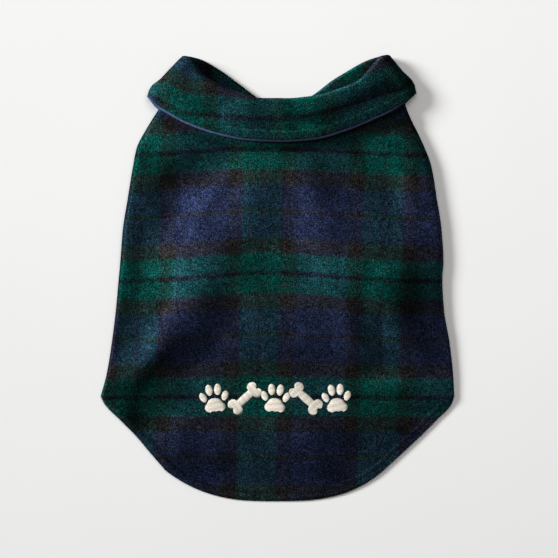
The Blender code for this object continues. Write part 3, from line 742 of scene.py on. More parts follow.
def shell(name, points, thickness, cloth_uv, nap, edge, present=None, dropped=None, closed=False, middle=False):
    """A closed shell from a grid of points of its outer face, or of its middle, in millimetres."""
    shape = points.shape[:2]
    present = np.ones(shape, dtype=bool) if present is None else present
    dropped = np.zeros(shape, dtype=bool) if dropped is None else dropped
    faces = faces_of(present, dropped, closed)
    used = np.unique(np.concatenate(faces))
    number = np.full(present.size, -1)
    number[used] = np.arange(len(used))
    faces = [[int(number[v]) for v in face] for face in faces]
    outer = points.reshape(-1, 3)[used]
    thick = np.broadcast_to(thickness, shape).reshape(-1)[used][:, None]
    normals = normals_of(outer, faces)
    if middle:
        outer = outer + normals * thick / 2.0
    inner = outer - normals * thick
    inner[:, 2] = np.maximum(inner[:, 2], INNER_LOWEST)
    outer[:, 2] = np.maximum(outer[:, 2], 0.0)

    owner = {}
    for face in faces:
        for a, b in zip(face, face[1:] + face[:1]):
            owner.setdefault((min(a, b), max(a, b)), []).append((a, b, face))
    border = [uses[0] for uses in owner.values() if len(uses) == 1]
    away = {}
    for a, b, face in border:
        for v in (a, b):
            away[v] = away.get(v, 0.0) + unit((outer[a] + outer[b]) / 2.0 - outer[face].mean(axis=0))
    rim = sorted(away)
    away = np.array([away[v] for v in rim])
    away = unit(away - normals[rim] * (away * normals[rim]).sum(axis=1, keepdims=True))
    rings = [
        mix(outer[rim], inner[rim], share) + away * RIM_BULGE * thick[rim] * math.sin(PI * share)
        for share in RIM_SHARES
    ]
    vertices = np.concatenate([outer, inner] + rings)
    vertices[:, 2] = np.maximum(vertices[:, 2], 0.0)

    count = len(used)
    ladder = {}
    for i, v in enumerate(rim):
        ladder[v] = [v] + [2 * count + r * len(rim) + i for r in range(len(rings))] + [v + count]
    everything = faces + [[v + count for v in reversed(face)] for face in faces]
    for a, b, _face in border:
        for i in range(len(rings) + 1):
            everything.append([ladder[b][i], ladder[a][i], ladder[a][i + 1], ladder[b][i + 1]])
    source = np.concatenate([np.arange(count)] * 2 + [rim] * len(rings))
    uv = np.broadcast_to(cloth_uv, shape + (2,)).reshape(-1, 2)[used][source][np.concatenate(everything)]
    nap, edge = (np.broadcast_to(grid, shape).reshape(-1)[used][source] for grid in (nap, edge))
    return piece_of(name, vertices, everything, uv, nap=nap, edge=edge)


def grid_normals(points, closed=False):
    """Unit normals of a grid, the way that its faces point."""
    if closed:
        wide = np.concatenate([points[:, -1:], points, points[:, :1]], axis=1)
        across = np.gradient(wide, axis=1)[:, 1:-1]
    else:
        across = np.gradient(points, axis=1)
    down = np.gradient(points, axis=0)
    return unit(np.cross(down, across))


def nap_of(points, closed=False):
    """Painted light by slope: lighter where the cloth faces the light, darker where it faces away."""
    normals = grid_normals(points, closed)
    facing = -(normals[..., 0] * AWAY_FROM_LIGHT[0] + normals[..., 1] * AWAY_FROM_LIGHT[1])
    seen = smoothstep(normals[..., 2] / SLOPE_LIGHT_TURN)
    return np.exp(SLOPE_LIGHT_GAIN * np.clip(facing, -SLOPE_LIGHT_LIMIT, SLOPE_LIGHT_LIMIT) * seen)


def plaid_uv(flat_x, y, shift=(0.0, 0.0)):
    """Plaid coordinates, in repeats, of a place of the cloth. flat_x is x laid flat past the folds."""
    bowed = smoothstep(np.abs(flat_x - BOW_MIDDLE) / BOW_WIDTH)
    u = (flat_x - WARP_CENTRE + WARP_LEAN * (LEAN_Y - y) + shift[0]) / WARP_REPEAT
    v = (y + BOW(y) * bowed - WEFT_CENTRE + shift[1]) / WEFT_REPEAT
    return np.stack(np.broadcast_arrays(u, v), axis=-1)


# The body's two pieces of cloth

def turn_share(fold_y):
    """How far the back turns under, as a share of the half width."""
    return BODY["turn"](fold_y) / half_width(fold_y)


def back_columns(fold_y):
    """across and around for each point of each row, from the left side seam round the top to the right one."""
    share = turn_share(fold_y)[:, None]
    turn = 1.0 - share * np.linspace(0.0, 1.0, TURN_SEGMENTS + 1)
    fold = np.ones((len(fold_y), FOLD_SEGMENTS - 1))
    top = np.broadcast_to(np.linspace(-1.0, 1.0, TOP_SEGMENTS + 1), (len(fold_y), TOP_SEGMENTS + 1))
    across = np.concatenate([-turn[:, ::-1], -fold, top, fold, turn], axis=1)
    angle = PI * np.arange(1, FOLD_SEGMENTS) / FOLD_SEGMENTS
    under = np.full(TURN_SEGMENTS + 1, PI)
    around = np.concatenate([under, angle[::-1], np.zeros(TOP_SEGMENTS + 1), angle, under])
    return across, np.broadcast_to(around, across.shape)


def far_hem_y(x):
    """Lower edge of the layer beneath, at this x."""
    return row_y(CORNER_Y, np.clip(x / half_width(CORNER_Y), -1.0, 1.0), BODY["far_dip"](CORNER_Y))


def hems_beneath(x, y):
    """Distance to the nearest hem of the layer beneath: its lower edge or an armhole's, roughly."""
    dx, dy = np.abs(x) - ARMHOLE[0], y - ARMHOLE[1]
    scaled = np.hypot(dx / ARMHOLE_RADII[0], dy / ARMHOLE_RADII[1])
    hole = np.hypot(dx, dy) * (1.0 - 1.0 / np.maximum(scaled, 1e-6))
    return np.maximum(np.minimum(y - far_hem_y(x), hole), 0.0)


def settle_beneath(points, under):
    """Sewing of the layer beneath: it draws up a little from the surface along its stitches."""
    depth, width = GROOVE
    drawn = depth * bell((hems_beneath(points[..., 0], points[..., 1]) - STITCH_INSET) / width)
    points[..., 2] += np.where(under, drawn, 0.0)


def hem_thickness(distance):
    """Thickness of the cloth at a distance from its hem."""
    return mix(HEM_CLOTH, CLOTH, smoothstep((distance - HEM_WIDTH) / HEM_STEP))


def back_panel():
    """The back: its top, the sides turned under, the tail and a half of each armhole."""
    fold_y = np.linspace(NECK_Y, CORNER_Y, BODY_SEGMENTS + 1)
    tail_y = np.linspace(CORNER_Y, TAIL_Y, TAIL_SEGMENTS + 1)[1:]
    across, around = back_columns(fold_y)
    body = body_points(fold_y[:, None], across, around)
    settle_beneath(body, around == PI)
    first = TURN_SEGMENTS + FOLD_SEGMENTS // 2
    columns = across.shape[1]
    inner = slice(first, columns - first)
    tail = np.zeros((TAIL_SEGMENTS, columns, 3))
    tail[:, inner] = tail_points(tail_y[:, None], across[-1:, inner], around[-1:, inner])
    points = np.concatenate([body, tail])
    present = np.ones(points.shape[:2], dtype=bool)
    present[BODY_SEGMENTS + 1:] = False
    present[BODY_SEGMENTS + 1:, inner] = True

    row = np.concatenate([fold_y, tail_y])[:, None]
    last = np.minimum(np.arange(len(row)), BODY_SEGMENTS)
    across, around = across[last], around[last]
    beneath = around == PI
    roll = BODY["roll"](row)
    left = np.where(row < CORNER_Y, TAIL["left_x"](row), BODY["left_x"](row)) + roll
    right = np.where(row < CORNER_Y, TAIL["right_x"](row), BODY["right_x"](row)) - roll
    start = np.where(across < 0.0, left, right)
    past = roll * around + np.where(beneath, np.abs(start - points[..., 0]), 0.0)
    flat_x = np.where(around > 0.0, start + np.sign(across) * past, points[..., 0])

    dropped = open_armholes(points, present, beneath)
    x, y = points[..., 0], points[..., 1]
    on_tail = (y < CORNER_Y + TAIL_SETTLE) & ~beneath
    tail_edge = np.where(on_tail, polyline_distance(x, y, HEM), NO_EDGE)
    edge = np.where(beneath, hems_beneath(x, y), tail_edge)
    thickness = hem_thickness(np.where((y < CORNER_Y) | beneath, edge, NO_EDGE))
    width, drop, past_corner = TAIL_ROUNDING
    rounded = np.clip(1.0 - tail_edge / width, 0.0, 1.0)
    points[..., 2] -= np.where(y < CORNER_Y - past_corner, drop * rounded**2, 0.0)
    # Painted light and shade of the back: lighter on slopes towards the light, darker on those turned away, the
    # listed paths of light and shade, and set factors round the side folds.
    fold_painted_light = np.where(across < 0.0, LEFT_FOLD_PAINTED_LIGHT, RIGHT_FOLD_LIGHT_BY_Y(y))
    nap = nap_of(points) * np.exp(sum_of(PAINTED_LIGHT_AND_SHADE, x, y))
    nap = mix(nap, fold_painted_light, smoothstep(around / FOLD_PAINT_TURN))
    return shell("back_panel_cloth", points, thickness, plaid_uv(flat_x, y), nap, edge, present, dropped)


def belly_panel():
    """The layer beneath, between the side seams, with the other half of each armhole."""
    fold_y = np.linspace(NECK_Y, CORNER_Y, BODY_SEGMENTS + 1)
    reach = (1.0 - turn_share(fold_y) - SEAM_GAP / half_width(fold_y))[:, None]
    across = reach * np.linspace(1.0, -1.0, BELLY_SEGMENTS + 1)
    points = body_points(fold_y[:, None], across, np.full(across.shape, PI), creased=False)
    present = np.ones(across.shape, dtype=bool)
    settle_beneath(points, present)
    dropped = open_armholes(points, present, present.copy())
    x, y = points[..., 0], points[..., 1]
    edge = hems_beneath(x, y)
    uv = plaid_uv(x, y, BELLY_SHIFT)
    return shell("belly_panel_cloth", points, hem_thickness(edge), uv, 1.0, edge, present, dropped)


# The collar

def outward(across, around):
    """The way that the band faces, by place round the neck: up, out past a fold, or down."""
    left = np.array(LEFT_OUTWARD)
    right = np.array(RIGHT_OUTWARD)
    side = np.where((across < 0.0)[:, None], left, right) * np.sin(around)[:, None]
    return np.concatenate([side, np.cos(around)[:, None]], axis=1)


def ring_points(across, around, left_x, right_x, near_y, far_y, near_z, far_z, rise=0.0):
    """A ring round the neck, from the near side over the folds to the far side."""
    bend = (near_z - far_z) / 2.0
    x = mix(left_x + bend, right_x - bend, (across + 1.0) / 2.0) + across * bend * np.sin(around)
    y = mix(near_y, far_y, around / PI) + rise * np.sin(around)
    z = (near_z + far_z) / 2.0 + bend * np.cos(around)
    return np.stack([x, y, z], axis=-1)


def band_columns():
    """across and around, all round the neck: near side, right fold, far side, left fold."""
    near = np.linspace(-1.0, 1.0, COLLAR_SEGMENTS + 1)
    angle = PI * np.arange(1, COLLAR_FOLD_SEGMENTS) / COLLAR_FOLD_SEGMENTS
    side = np.ones(COLLAR_FOLD_SEGMENTS - 1)
    across = np.concatenate([near, side, near[::-1], -side])
    around = np.concatenate([np.zeros(len(near)), angle, np.full(len(near), PI), angle[::-1]])
    return across, around


def band_sections(across, around):
    """Middle of the band, from the neck seam up the stand, over the roll and down the fall, by row."""
    seam = body_points(np.full(across.shape, NECK_Y), across, around, creased=False)
    inset = -CLOTH / 2.0
    seam[:, 0] += inset * across * np.sin(around)
    seam[:, 1] += SEAM_GAP
    seam[:, 2] += inset * np.cos(around)
    roll = mix(NEAR_ROLL, FAR_ROLL, around / PI)
    back = roll + BAND / 2.0
    near_roll, far_roll = COLLAR["near_roll"](across) - back, COLLAR["far_roll"](across) - back
    low = BAND / 2.0 + 2.0 * FAR_ROLL
    top = ring_points(across, around, STAND_LEFT_X, STAND_RIGHT_X, near_roll, far_roll, STAND_HEIGHT, low)
    near_edge = COLLAR["near_edge"](across) + PIPING + SEAM_GAP
    far_edge = COLLAR["far_edge"](across) + PIPING + SEAM_GAP
    height = EDGE_HEIGHT - EDGE_DROP * np.abs(across) ** 3
    rise = np.where(across < 0.0, *EDGE_TIP_RISES)
    edge = ring_points(across, around, EDGE_LEFT_X, EDGE_RIGHT_X, near_edge, far_edge, height, PIPING / 2.0, rise)
    facing = outward(across, around)
    upwards = top - seam
    climb = unit(upwards - facing * (upwards * facing).sum(axis=1, keepdims=True))
    centre = top + facing * roll[:, None]
    rows = [mix(seam, top, t) for t in np.linspace(0.0, 1.0, STAND_SEGMENTS + 1)]
    for angle in PI * np.arange(1, ROLL_SEGMENTS + 1) / ROLL_SEGMENTS:
        rows.append(centre - facing * (roll * np.cos(angle))[:, None] + climb * (roll * np.sin(angle))[:, None])
    fall = rows[-1]
    bulge = FALL_BULGE * np.minimum(1.0, 1.0 + np.cos(around))
    left = across < 0.0
    corner = np.where(left, *CORNER_BULGES) * np.sin(around) ** 2
    place, width = np.where(left, *CORNER_PLACES), np.where(left, *CORNER_WIDTHS)
    for t in np.linspace(0.0, 1.0, FALL_SEGMENTS + 1)[1:]:
        out = bulge * math.sin(PI * t) + corner * bell((t - place) / width)
        rows.append(mix(fall, edge, t) + facing * out[:, None])
    return np.array(rows)


def stations(points):
    """How far along the band each place is: x on the near side, and the length round past both folds."""
    near = COLLAR_SEGMENTS + 1
    seam = near + COLLAR_FOLD_SEGMENTS - 1 + near // 2
    steps = np.linalg.norm(np.diff(points, axis=1, append=points[:, :1]), axis=2)
    start, end, most = COLLAR_ROUNDING
    station = points[..., 0] - most * smoothstep((start - points[..., 0]) / (start - end))
    station[:, near:seam] = station[:, near - 1:near] + np.cumsum(steps[:, near - 1:seam - 1], axis=1)
    station[:, seam:] = station[:, :1] - np.cumsum(steps[:, seam:][:, ::-1], axis=1)[:, ::-1]
    return station


def roll_wave(station):
    """The slight unevenness of the roll along the band, under half a millimetre."""
    return 0.30 * np.sin(station / 9.0) * np.sin(station / 23.0 + 1.0) + 0.22 * np.sin(station / 5.3 + 2.0)


def collar():
    """The band of two plies: stand, roll and fall, all round the neck."""
    across, around = band_columns()
    points = band_sections(across, around)
    length = np.linalg.norm(np.diff(points, axis=0), axis=2)
    along = np.concatenate([np.zeros((1, len(across))), np.cumsum(length, axis=0)])
    roll_row = STAND_SEGMENTS + ROLL_SEGMENTS // 2
    down = along - along[roll_row]
    to_edge = along[-1] - along
    near, far, left = around == 0.0, around == PI, across < 0.0
    station = stations(points)
    normals = grid_normals(points, closed=True)
    wave = roll_wave(station) * bell(down / ROLL_WIDTH) * np.where(far, 0.5, 1.0)
    points = points + normals * wave[..., None]
    crease = sum_of(COLLAR_CREASES, points[..., 0], points[..., 1]) * near * smoothstep(down / CREASE_FADE)
    points = points + normals * crease[..., None]

    end_line = END_LINE(np.where(near, across, np.where(left, -1.0, 1.0)))
    end_line = end_line - LEFT_END_DROP * left * smoothstep(2.0 * around / PI)
    far_share = far * smoothstep((1.0 - np.abs(across)) / FAR_LINE_REACH)
    line = mix(along[-1] - end_line, along[roll_row] + FAR_LINE, far_share)
    above = smoothstep((to_edge - end_line) / TIGHT_FADE) * ~far
    tight = RIGHT_TIGHT * between(across, *RIGHT_TIGHT_RISE)
    tight = tight + LEFT_TIGHT * between(across, *LEFT_TIGHT_RISE) * between(across, *LEFT_TIGHT_FALL)
    u = (station - COLLAR_WARP_CENTRE) / COLLAR_WARP_REPEAT
    v = (along - line) * (1.0 - above * tight) / WEFT_REPEAT
    uv = np.stack([u, v], axis=-1)

    x, y = points[..., 0], points[..., 1]
    ridge = RIDGE_HEIGHT * bell((to_edge - COLLAR_RIDGE) / RIDGE_WIDTH)
    ridge = ridge * (down > COLLAR_RIDGE) * between(across, *RIDGE_RISE)
    thickness = BAND * mix(EDGE_PINCH, 1.0, smoothstep(to_edge / PINCH_WIDTH)) + ridge
    # Painted light and shade of the collar: a highlight along the roll's rim, painted shade inside the far side,
    # and painted light and shade by slope and by the listed paths elsewhere.
    rim = bell((down - RIM_PLACE) / RIM_WIDTH) * between(x, *RIM_ENDS) * near
    tone = np.where(far, INSIDE_SHADE(x), sum_of(COLLAR_PAINTED_LIGHT_AND_SHADE, x, y))
    nap = nap_of(points, closed=True) * np.exp(tone + ROLL_PAINTED_HIGHLIGHT * rim)
    edge = np.where(down > FALL_START, to_edge, NO_EDGE)
    return shell("collar_cloth", points, thickness, uv, nap, edge, closed=True, middle=True)


# Round pieces: the piping and all thread

def swept(points, tangent, side, radius, sides):
    """Rings of vertices round each point, and the number of each vertex. side: a way across the line."""
    beside = unit(np.cross(tangent, side))
    above = unit(np.cross(beside, tangent))
    angle = 2.0 * PI * np.arange(sides) / sides
    turn = np.cos(angle)[:, None] * beside[..., None, :] + np.sin(angle)[:, None] * above[..., None, :]
    vertices = points[..., None, :] + turn * np.broadcast_to(radius, points.shape[:-1])[..., None, None]
    return vertices, np.arange(vertices.size // 3).reshape(vertices.shape[:-1])


def quads(here, after):
    """Faces between rings of vertices, given by their numbers."""
    around = [here, after, np.roll(after, -1, axis=-1), np.roll(here, -1, axis=-1)]
    return np.stack(around, axis=-1).reshape(-1, 4).tolist()


def collar_piping():
    """Bias-cut satin drawn over a cord: round, with slight gathers where it is sewn in."""
    points = band_sections(*band_columns())
    down = unit(points[-1] - points[-2])
    down[:, 2] = 0.0
    path = points[-1] + unit(down) * (CORD + CORD_GAP - TUCK(points[-1, :, 0]))[:, None]
    path = resampled(np.concatenate([path, path[:1]]), CORD)
    length = reach_of(path)
    path = path[:-1]
    places = np.arange(len(path)) * CORD
    gather = 1.0 + GATHER * np.sin(places * 2.0 * PI / GATHER_PITCH) + SWELL * np.sin(places / SWELL_RUN + 1.0)
    tangent = unit(np.roll(path, -1, axis=0) - np.roll(path, 1, axis=0))
    vertices, number = swept(path, tangent, (0.0, 1.0, 0.0), CORD * gather, CORD_SIDES)
    vertices[..., 2] = np.maximum(vertices[..., 2], 0.0)
    turn = np.arange(CORD_SIDES + 1) / CORD_SIDES
    a, b, low, high = length[:-1], length[1:], turn[:-1], turn[1:]
    corners = ((a, low), (b, low), (b, high), (a, high))
    uv = np.stack([np.stack(np.meshgrid(u, v, indexing="ij"), axis=-1) for u, v in corners], axis=2)
    # Painted light and shade along the piping, by x: lighter on the left, darker to the right
    tone = np.repeat(PIPING_LIGHT_BY_X(path[:, 0]), CORD_SIDES)
    faces = quads(number, np.roll(number, -1, axis=0))
    return piece_of("collar_piping_satin", vertices, faces, uv, tone=tone)


def strands(name, points, up, radius):
    """Joined threads. points: (thread, place, 3); up: (thread, 3); radius: one for each place."""
    vertices, number = swept(points, unit(np.gradient(points, axis=1)), up[:, None], radius, THREAD_SIDES)
    faces = quads(number[:, :-1], number[:, 1:]) + number[:, 0].tolist() + number[:, -1, ::-1].tolist()
    tone = 0.5 + 0.5 * np.sin(np.arange(len(points)) * TONE_STEP)
    return piece_of(name, vertices, faces, tone=np.repeat(tone, number[0].size))


def tree_of(*objects):
    """A tree for finding the cloth's surface."""
    vertices, faces = [], []
    for obj in objects:
        first = len(vertices)
        vertices += [vertex.co.copy() for vertex in obj.data.vertices]
        faces += [[first + v for v in face.vertices] for face in obj.data.polygons]
    return BVHTree.FromPolygons(vertices, faces)


def surface(tree, x, y, from_above=True):
    """Height and outward normal of the cloth's surface at a place, in millimetres."""
    start, way = (RAY_START, -1.0) if from_above else (-RAY_START, 1.0)
    place, normal, _index, _distance = tree.ray_cast(Vector((x * MM, y * MM, start)), Vector((0.0, 0.0, way)))
    if place is None:
        return None
    if (normal.z < 0.0) == from_above:
        normal = -normal
    return place.z / MM, np.array(normal)


def stitch_line(tree, path, from_above=True):
    """Straight stitches along a path of (x, y): each rises out of the cloth, lies on it and dips back in."""
    step = len(STITCH_LIFT)
    even = resampled(path, STITCH_PITCH / step)
    lines, ups = [], []
    for first in range(0, len(even) - step, step):
        places = even[first:first + step]
        found = [surface(tree, *place, from_above) for place in places]
        if any(f is None for f in found):
            continue
        risen = zip(places, found, STITCH_LIFT)
        lines.append([[*place, height] + normal * lift for place, (height, normal), lift in risen])
        ups.append(found[step // 2 - 1][1])
    lines = np.array(lines)
    lines[..., 2] = np.maximum(lines[..., 2], THREAD + 0.02)
    return lines, np.array(ups)


def inward_line(points, inset):
    """A path moved to the left of its way along."""
    even = resampled(np.array(points), 2.0)
    way = unit(np.gradient(even, axis=0))
    return even + np.stack([-way[:, 1], way[:, 0]], axis=-1) * inset


def hem_stitches(back, belly):
    """Topstitching of the tail's hem, the belly's lower edge and both armholes."""
    beneath = tree_of(back, belly)
    lines = [stitch_line(tree_of(back), inward_line(HEM, STITCH_INSET)[HEM_ENDS:-HEM_ENDS])]
    half_wide, count = BELLY_HEM
    low = np.linspace(-half_wide, half_wide, count)
    paths = [np.stack([low, far_hem_y(low) + STITCH_INSET], axis=-1)]
    turn = np.linspace(0.0, 2.0 * PI, ARMHOLE_POINTS)
    for side in (-1.0, 1.0):
        x = side * ARMHOLE[0] + (ARMHOLE_RADII[0] + STITCH_INSET) * np.cos(turn)
        y = ARMHOLE[1] + (ARMHOLE_RADII[1] + STITCH_INSET) * np.sin(turn)
        paths.append(np.stack([x, y], axis=-1))
    lines += [stitch_line(beneath, path, from_above=False) for path in paths]
    points, ups = (np.concatenate(parts) for parts in zip(*lines))
    return strands("hem_stitches", points, ups, THREAD)


# The ornament

def turned(x, y, degrees):
    angle = math.radians(degrees)
    return x * math.cos(angle) - y * math.sin(angle), x * math.sin(angle) + y * math.cos(angle)


def inside_ovals(ovals, x, y, shaft):
    inside = np.zeros(np.shape(x), dtype=bool)
    for cx, cy, half_wide, half_high, tilt in ovals:
        a, b = turned(x - cx, y - cy, -tilt)
        inside |= (a / half_wide) ** 2 + (b / half_high) ** 2 < 1.0
    return inside | (np.abs(x) < shaft[0]) & (np.abs(y) < shaft[1])


def satin_fill(ovals, way, shaft=(0.0, 0.0)):
    """Threads side by side over a shape: (x, y) of both ends of each. way is their direction in degrees."""
    ends = []
    fine = np.arange(-ORNAMENT_REACH, ORNAMENT_REACH, FINE)
    first, second = WANDER_STEPS
    for i, off in enumerate(np.arange(-ORNAMENT_REACH, ORNAMENT_REACH, SATIN_SPACING)):
        x, y = turned(fine, np.full(fine.shape, off), way)
        inside = inside_ovals(ovals, x, y, shaft).astype(int)
        edges = np.diff(np.concatenate([[0], inside, [0]]))
        for start, stop in zip(np.nonzero(edges > 0)[0], np.nonzero(edges < 0)[0]):
            if stop - start >= SHORTEST_THREAD:
                a = turned(fine[start] + SATIN_WANDER * math.sin(i * first), off, way)
                b = turned(fine[stop - 1] + SATIN_WANDER * math.sin(i * second + 1.0), off, way)
                ends.append((a, b))
    return ends


def ornament(back):
    """The row of paw prints and bones, in threads laid over the back's surface."""
    tree = tree_of(back)
    share = np.linspace(0.0, 1.0, len(SATIN_TAPER))
    rise = SATIN_LIFT * (1.0 - np.abs(2.0 * share - 1.0) ** 3.0) - SATIN_SUNK
    paw = [end for ovals in (PAW_PAD, *((toe,) for toe in PAW_TOES)) for end in satin_fill(ovals, PAW_WAY)]
    threads = {"paw": paw, "bone": satin_fill(BONE, BONE_WAY, BONE_SHAFT)}
    points, ups = [], []
    for kind, x0, y0, tilt in ORNAMENT_ROW:
        for ends in threads[kind]:
            a, b = (np.array(turned(*end, tilt)) for end in ends)
            line = []
            for t, lift in zip(share, rise):
                x, y = mix(a, b, t) + np.array([x0, y0]) + np.array(ORNAMENT_CENTRE)
                height, normal = surface(tree, x, y)
                line.append(np.array([x, y, height]) + normal * lift)
            points.append(line)
            ups.append(surface(tree, *line[4][:2])[1])
    radius = SATIN_THREAD * np.array(SATIN_TAPER)
    return strands("ornament_satin_stitch", np.array(points), np.array(ups), radius)


# Materials

class Graph:
    """A short way to write shader nodes."""

    def __init__(self, name):
        self.material = bpy.data.materials.new(name)
        self.material.use_nodes = True
        self.nodes = self.material.node_tree.nodes
        self.links = self.material.node_tree.links
        self.shader = self.nodes["Principled BSDF"]

    def plug(self, socket, value):
        if isinstance(value, bpy.types.NodeSocket):
            self.links.new(value, socket)
        elif value is not None:
            socket.default_value = value

    def add(self, kind, inputs=None, **settings):
        node = self.nodes.new(kind)
        for key, value in settings.items():
            setattr(node, key, value)
        for key, value in (inputs or {}).items():
            self.plug(node.inputs[key], value)
        return node.outputs

    def math(self, operation, a, b=None, c=None):
        return self.add("ShaderNodeMath", {0: a, 1: b, 2: c}, operation=operation)[0]

    def times(self, a, b):
        return self.math("MULTIPLY", a, b)

    def apart(self, a, b):
        return self.math("ABSOLUTE", self.math("SUBTRACT", a, b))

    def vector(self, operation, a, b):
        return self.add("ShaderNodeVectorMath", {0: a, 1: b}, operation=operation)[0]

    def scaled(self, vector, factors):
        return self.vector("MULTIPLY", vector, factors)

    def dimmed(self, vector, factor):
        return self.add("ShaderNodeVectorMath", {0: vector, "Scale": factor}, operation="SCALE")[0]

    def split(self, vector):
        return self.add("ShaderNodeSeparateXYZ", {0: vector})

    def uv(self):
        return self.add("ShaderNodeUVMap", uv_map="Cloth")["UV"]

    def stored(self, name):
        return self.add("ShaderNodeAttribute", attribute_name=name)["Fac"]

    def noise(self, vector, scale, detail=0.0, roughness=0.5, dimensions="3D"):
        inputs = {"Vector": vector, "Scale": scale, "Detail": detail, "Roughness": roughness}
        return self.add("ShaderNodeTexNoise", inputs, noise_dimensions=dimensions)

    def flat_noise(self, vector, scale, detail=0.0):
        return self.noise(vector, scale, detail, dimensions="2D")

    def span(self, value, low, high, to_low=0.0, to_high=1.0):
        inputs = {"Value": value, "From Min": low, "From Max": high, "To Min": to_low, "To Max": to_high}
        return self.add("ShaderNodeMapRange", inputs)[0]

    def blend(self, factor, a, b):
        inputs = {"Factor": factor, 6: a, 7: b}
        return self.add("ShaderNodeMix", inputs, data_type="RGBA")[2]

    def ramp(self, value, stops):
        node = self.nodes.new("ShaderNodeValToRGB")
        self.plug(node.inputs["Fac"], value)
        elements = node.color_ramp.elements
        while len(elements) < len(stops):
            elements.new(1.0)
        for element, (place, colour) in zip(elements, stops):
            element.position = place
            element.color = (*colour, 1.0)
        return node.outputs["Color"]

    def finish(self, colour, roughness, specular, height=None, strength=1.0, distance=0.0):
        self.shader.inputs["Roughness"].default_value = roughness
        self.shader.inputs["Specular IOR Level"].default_value = specular
        self.links.new(colour, self.shader.inputs["Base Color"])
        if height:
            inputs = {"Height": height, "Strength": strength, "Distance": distance}
            self.links.new(self.add("ShaderNodeBump", inputs)["Normal"], self.shader.inputs["Normal"])
        return self.material


def sett(line_in_green, line_in_blue, black):
    """Stops of one plaid repeat with a green stripe's middle at 0.5: each stripe has soft edges."""
    thin, green, dark, blue = STRIPE_ENDS
    half = [(0.0, line_in_green), (thin, GREEN), (green, black), (dark, BLUE), (blue, line_in_blue)]
    stops = []
    for i, (start, colour) in enumerate(half):
        end = half[i + 1][0] if i + 1 < len(half) else 0.5
        soft = min(STRIPE_SOFTNESS, (end - start) * SOFT_SHARE)
        stops.append((start + (soft if i else 0.0), end - (soft if i + 1 < len(half) else 0.0), colour))
    right = []
    for start, end, colour in stops:
        right += [(0.5 + start, colour), (0.5 + end, colour)]
    left = [(1.0 - place, colour) for place, colour in reversed(right)]
    return left[:-1] + right[1:]


def brushed_plaid(name, collar=False):
    """Twill woven from dyed yarns and brushed: the stripes blend where they cross, under a short mottled pile,
    lightened and darkened by painted light and shade.

    yarn is the place on the cloth and pile the place in space, both in millimetres, so noise isn't stretched.
    """
    g = Graph(name)
    uv = g.uv()
    yarn = g.scaled(uv, (SETT_MM, SETT_MM, 0.0))
    pile = g.scaled(g.add("ShaderNodeTexCoord")["Object"], (1.0 / MM, 1.0 / MM, 1.0 / MM))
    drift = g.flat_noise(yarn, scale=0.028, detail=1.0)
    fray = g.noise(pile, scale=0.8, detail=1.0)
    moved = uv
    for noise, amount in ((drift, DRIFT), (fray, FRAY)):
        centred = g.vector("SUBTRACT", noise["Color"], (0.5, 0.5, 0.5))
        moved = g.vector("ADD", moved, g.scaled(centred, (amount, amount, 0.0)))
    place = g.split(moved)
    warp_stops, weft_stops = sett(GREEN_LINE, BLUE_LINE, WARP_BLACK), sett(NAVY_LINE, BLACK, BLACK)
    warp = g.ramp(g.math("FRACT", g.math("ADD", place["X"], 0.5)), warp_stops)
    weft = g.ramp(g.math("FRACT", g.math("ADD", place["Y"], 0.5)), weft_stops)

    flat = g.split(yarn)
    twill = g.math("SINE", g.times(g.math("SUBTRACT", flat["X"], flat["Y"]), 2.0 * PI / TWILL_PITCH))
    mottle = g.noise(pile, scale=0.82, detail=2.0, roughness=0.7)[0]
    share = g.math("MULTIPLY_ADD", twill, TWILL_SHARE, g.span(mottle, 0.34, 0.66, *WARP_SHARE))
    colour = g.blend(share, warp, weft)

    grain = g.noise(g.scaled(pile, GRAIN_STRETCH), scale=0.90, detail=1.0, roughness=0.6)[0]
    tips = g.math("POWER", g.span(grain, *PILE_TIPS), PILE_POWER)
    ribbed = g.math("MULTIPLY_ADD", twill, TWILL_LIGHT, 1.0)
    light = g.times(g.math("MULTIPLY_ADD", tips, PILE_GAIN, PILE_LOW), ribbed)
    uneven = {
        "along": g.flat_noise(g.scaled(yarn, ALONG_YARN), scale=0.95, detail=1.0),
        "across": g.flat_noise(g.scaled(yarn, ACROSS_YARN), scale=0.95, detail=1.0),
        "cloudy": g.noise(pile, scale=0.05, detail=2.0),
        "patchy": g.noise(pile, scale=0.26, detail=1.0),
    }
    for kind, noise in uneven.items():
        light = g.times(light, g.span(noise[0], 0.3, 0.7, *UNEVEN[kind]))
    # The stored painted light and shade lighten and darken the pile and its flecks.
    nap, edge = g.stored("nap"), g.stored("edge")
    light = g.times(light, nap)
    if collar:
        # A light line painted along the sewn ridge, as its highlight
        ridge_highlight = g.span(g.apart(edge, COLLAR_RIDGE), *RIDGE_HIGHLIGHT_EDGE, 1.0, 0.0)
        risen = g.span(flat["X"], *RIDGE_HIGHLIGHT_RISE, 0.0, RIDGE_HIGHLIGHT_SHARE)
        colour = g.blend(g.times(ridge_highlight, risen), colour, RIDGE_HIGHLIGHT)
    else:
        groove = g.span(g.apart(edge, GROOVE_MIDDLE), *GROOVE_EDGE, GROOVE_SHADE, 1.0)
        light = g.times(g.times(light, groove), g.span(edge, 0.0, CUT_EDGE, CUT_SHADE, 1.0))
    fleck = g.noise(g.scaled(pile, FLECK_STRETCH), scale=0.80, detail=1.0)[0]
    flecked = g.dimmed(FLECK, g.times(g.span(fleck, *FLECK_TIPS), nap))
    colour = g.vector("ADD", g.dimmed(colour, light), flecked)
    height = g.math("ADD", g.times(grain, 1.6), g.times(twill, 0.10))
    return g.finish(colour, roughness=1.0, specular=0.03, height=height, strength=0.55, distance=0.00028)


